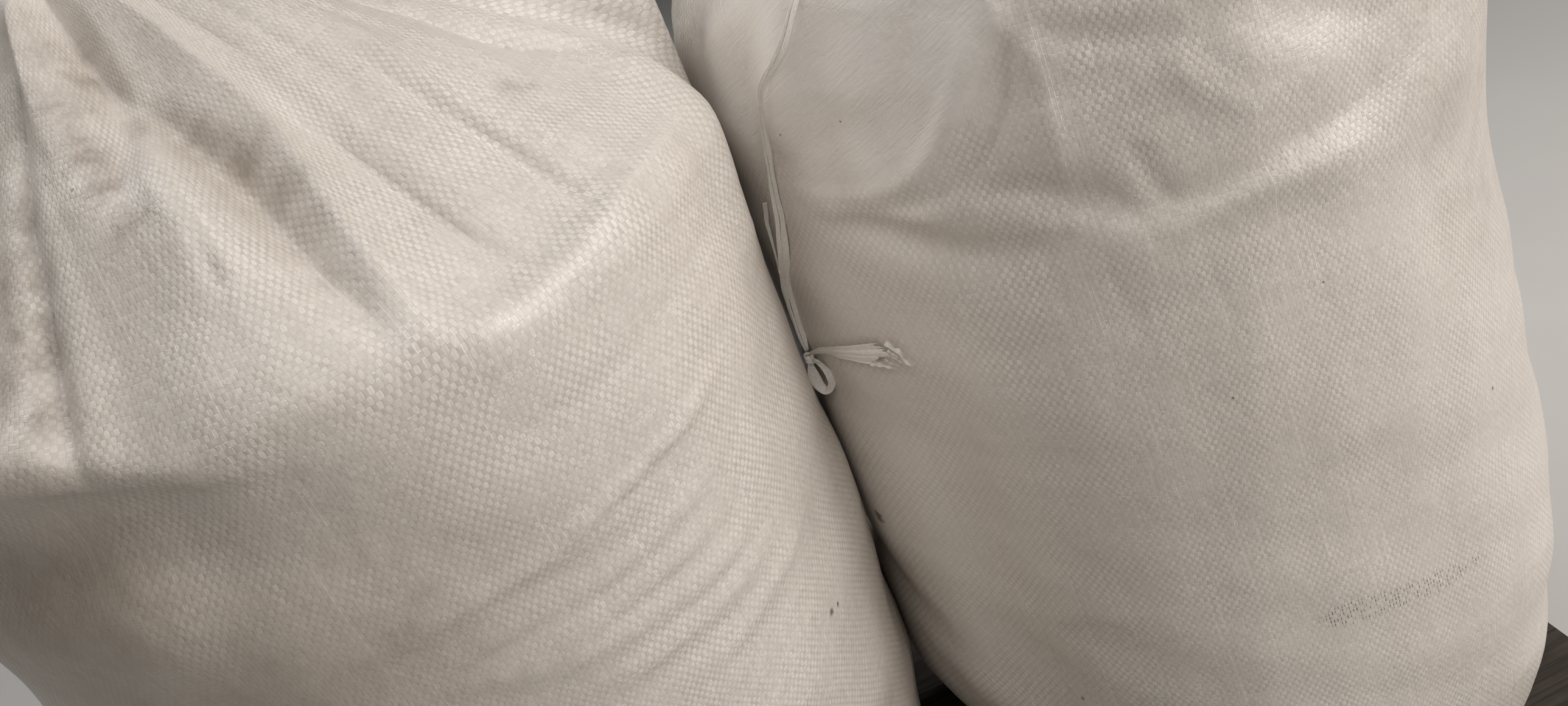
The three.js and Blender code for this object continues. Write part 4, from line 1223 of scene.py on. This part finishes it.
# Pallet
def dress_pallet():
    for name, piece in frame["nodes"].items():
        if "board" not in name and "block" not in name:
            continue
        row = 10 if "cross" in name else 20 if "bottom" in name else 0
        board = 3.7 * (int(name.rsplit("_", 1)[1]) + row)
        piece.data.materials.clear()
        piece.data.materials.append(wood_material("wood " + name, "cross" in name, board))


def add_nails(material):
    """Nail heads, low domes with a rim, three in each crossing of a deck board and a cross board."""
    turn = np.linspace(0, 2 * np.pi, NAIL_SIDES, endpoint=False)
    out, up = np.transpose(NAIL_PROFILE)[:, :, None]
    head = np.stack([out * np.cos(turn), out * np.sin(turn), up + 0 * turn], 2).reshape(-1, 3)
    faces = tube_faces(len(NAIL_PROFILE), NAIL_SIDES)[:, ::-1].tolist() + [list(range(NAIL_SIDES))]
    random = np.random.default_rng(5)
    vertices, joined = [], []
    for x in CROSS_BOARDS:
        for y in DECK_BOARDS:
            for dx, dy in NAIL_SPOTS:
                place = [x + dx + random.uniform(-5, 5), y + dy + random.uniform(-5, 5), DECK_TOP]
                joined += [[len(vertices) * len(head) + i for i in face] for face in faces]
                vertices.append(head + place)
    piece = new_mesh("deck_nails", np.vstack(vertices), joined, material)


# Light and floor
def add_lamp(name, azimuth, elevation, power, colour):
    """A square lamp at an azimuth and elevation from the load's middle, facing it."""
    a, e = np.radians(azimuth), np.radians(elevation)
    way = np.array([np.cos(a) * np.cos(e), np.sin(a) * np.cos(e), np.sin(e)])
    lamp = bpy.data.lights.new(name, "AREA")
    lamp.size = LAMP_SIZE
    lamp.energy = power
    lamp.color = colour
    holder = bpy.data.objects.new(name, lamp)
    holder.location = np.array(LAMP_AIM) + way * LAMP_DISTANCE
    holder.rotation_euler = Vector(-way).to_track_quat("-Z", "Y").to_euler()
    bpy.context.collection.objects.link(holder)


def add_light():
    world = bpy.data.worlds.new("soft room")
    world.use_nodes = True
    background = world.node_tree.nodes["Background"].inputs
    background["Color"].default_value = ROOM_COLOUR
    background["Strength"].default_value = ROOM_LIGHT
    bpy.context.scene.world = world
    for lamp in LAMPS:
        add_lamp(*lamp)
    bpy.context.scene.view_settings.view_transform = "Standard"


def add_floor():
    material, tree, shader = new_material("pale floor", (0.7, 0.69, 0.67, 1))
    cloud = noise(field(tree, "TexCoord", output="Object"), 3.0, 4.0, 0.6)
    feed(shader["Base Color"], blend_colour(cloud, FLOOR_SHADE, FLOOR_LIGHT))
    feed(shader["Roughness"], 0.8)
    mesh = bpy.data.meshes.new("floor")
    half = FLOOR_HALF
    corners = [(-half, -half, 0), (half, -half, 0), (half, half, 0), (-half, half, 0)]
    mesh.from_pydata(corners, [], [(0, 1, 2, 3)])
    mesh.materials.append(material)
    floor = bpy.data.objects.new("floor", mesh)
    bpy.context.collection.objects.link(floor)


add_camera()
WEAVE, BLEMISH, SAWN_WOOD = weave_group(), blemish_group(), wood_group()
film = film_material()
tail, tail_route = add_tail(film)
[[c * MM for c in point] for point in tail_route.tolist()]
add_tail_pieces(film)
add_sack("skin_left", SACKS["left"], cloth_material("woven cloth left", LEFT_SPECKS), 11)
add_sack("skin_right", SACKS["right"], cloth_material("woven cloth right", RIGHT_SPECKS), 12)
add_tie("wound_tie_left", SACKS["left"], film, 21)
add_tie("wound_tie_right", SACKS["right"], film, 22)
dress_pallet()
add_nails(steel_material())
add_floor()
add_light()
bpy.context.view_layer.update()
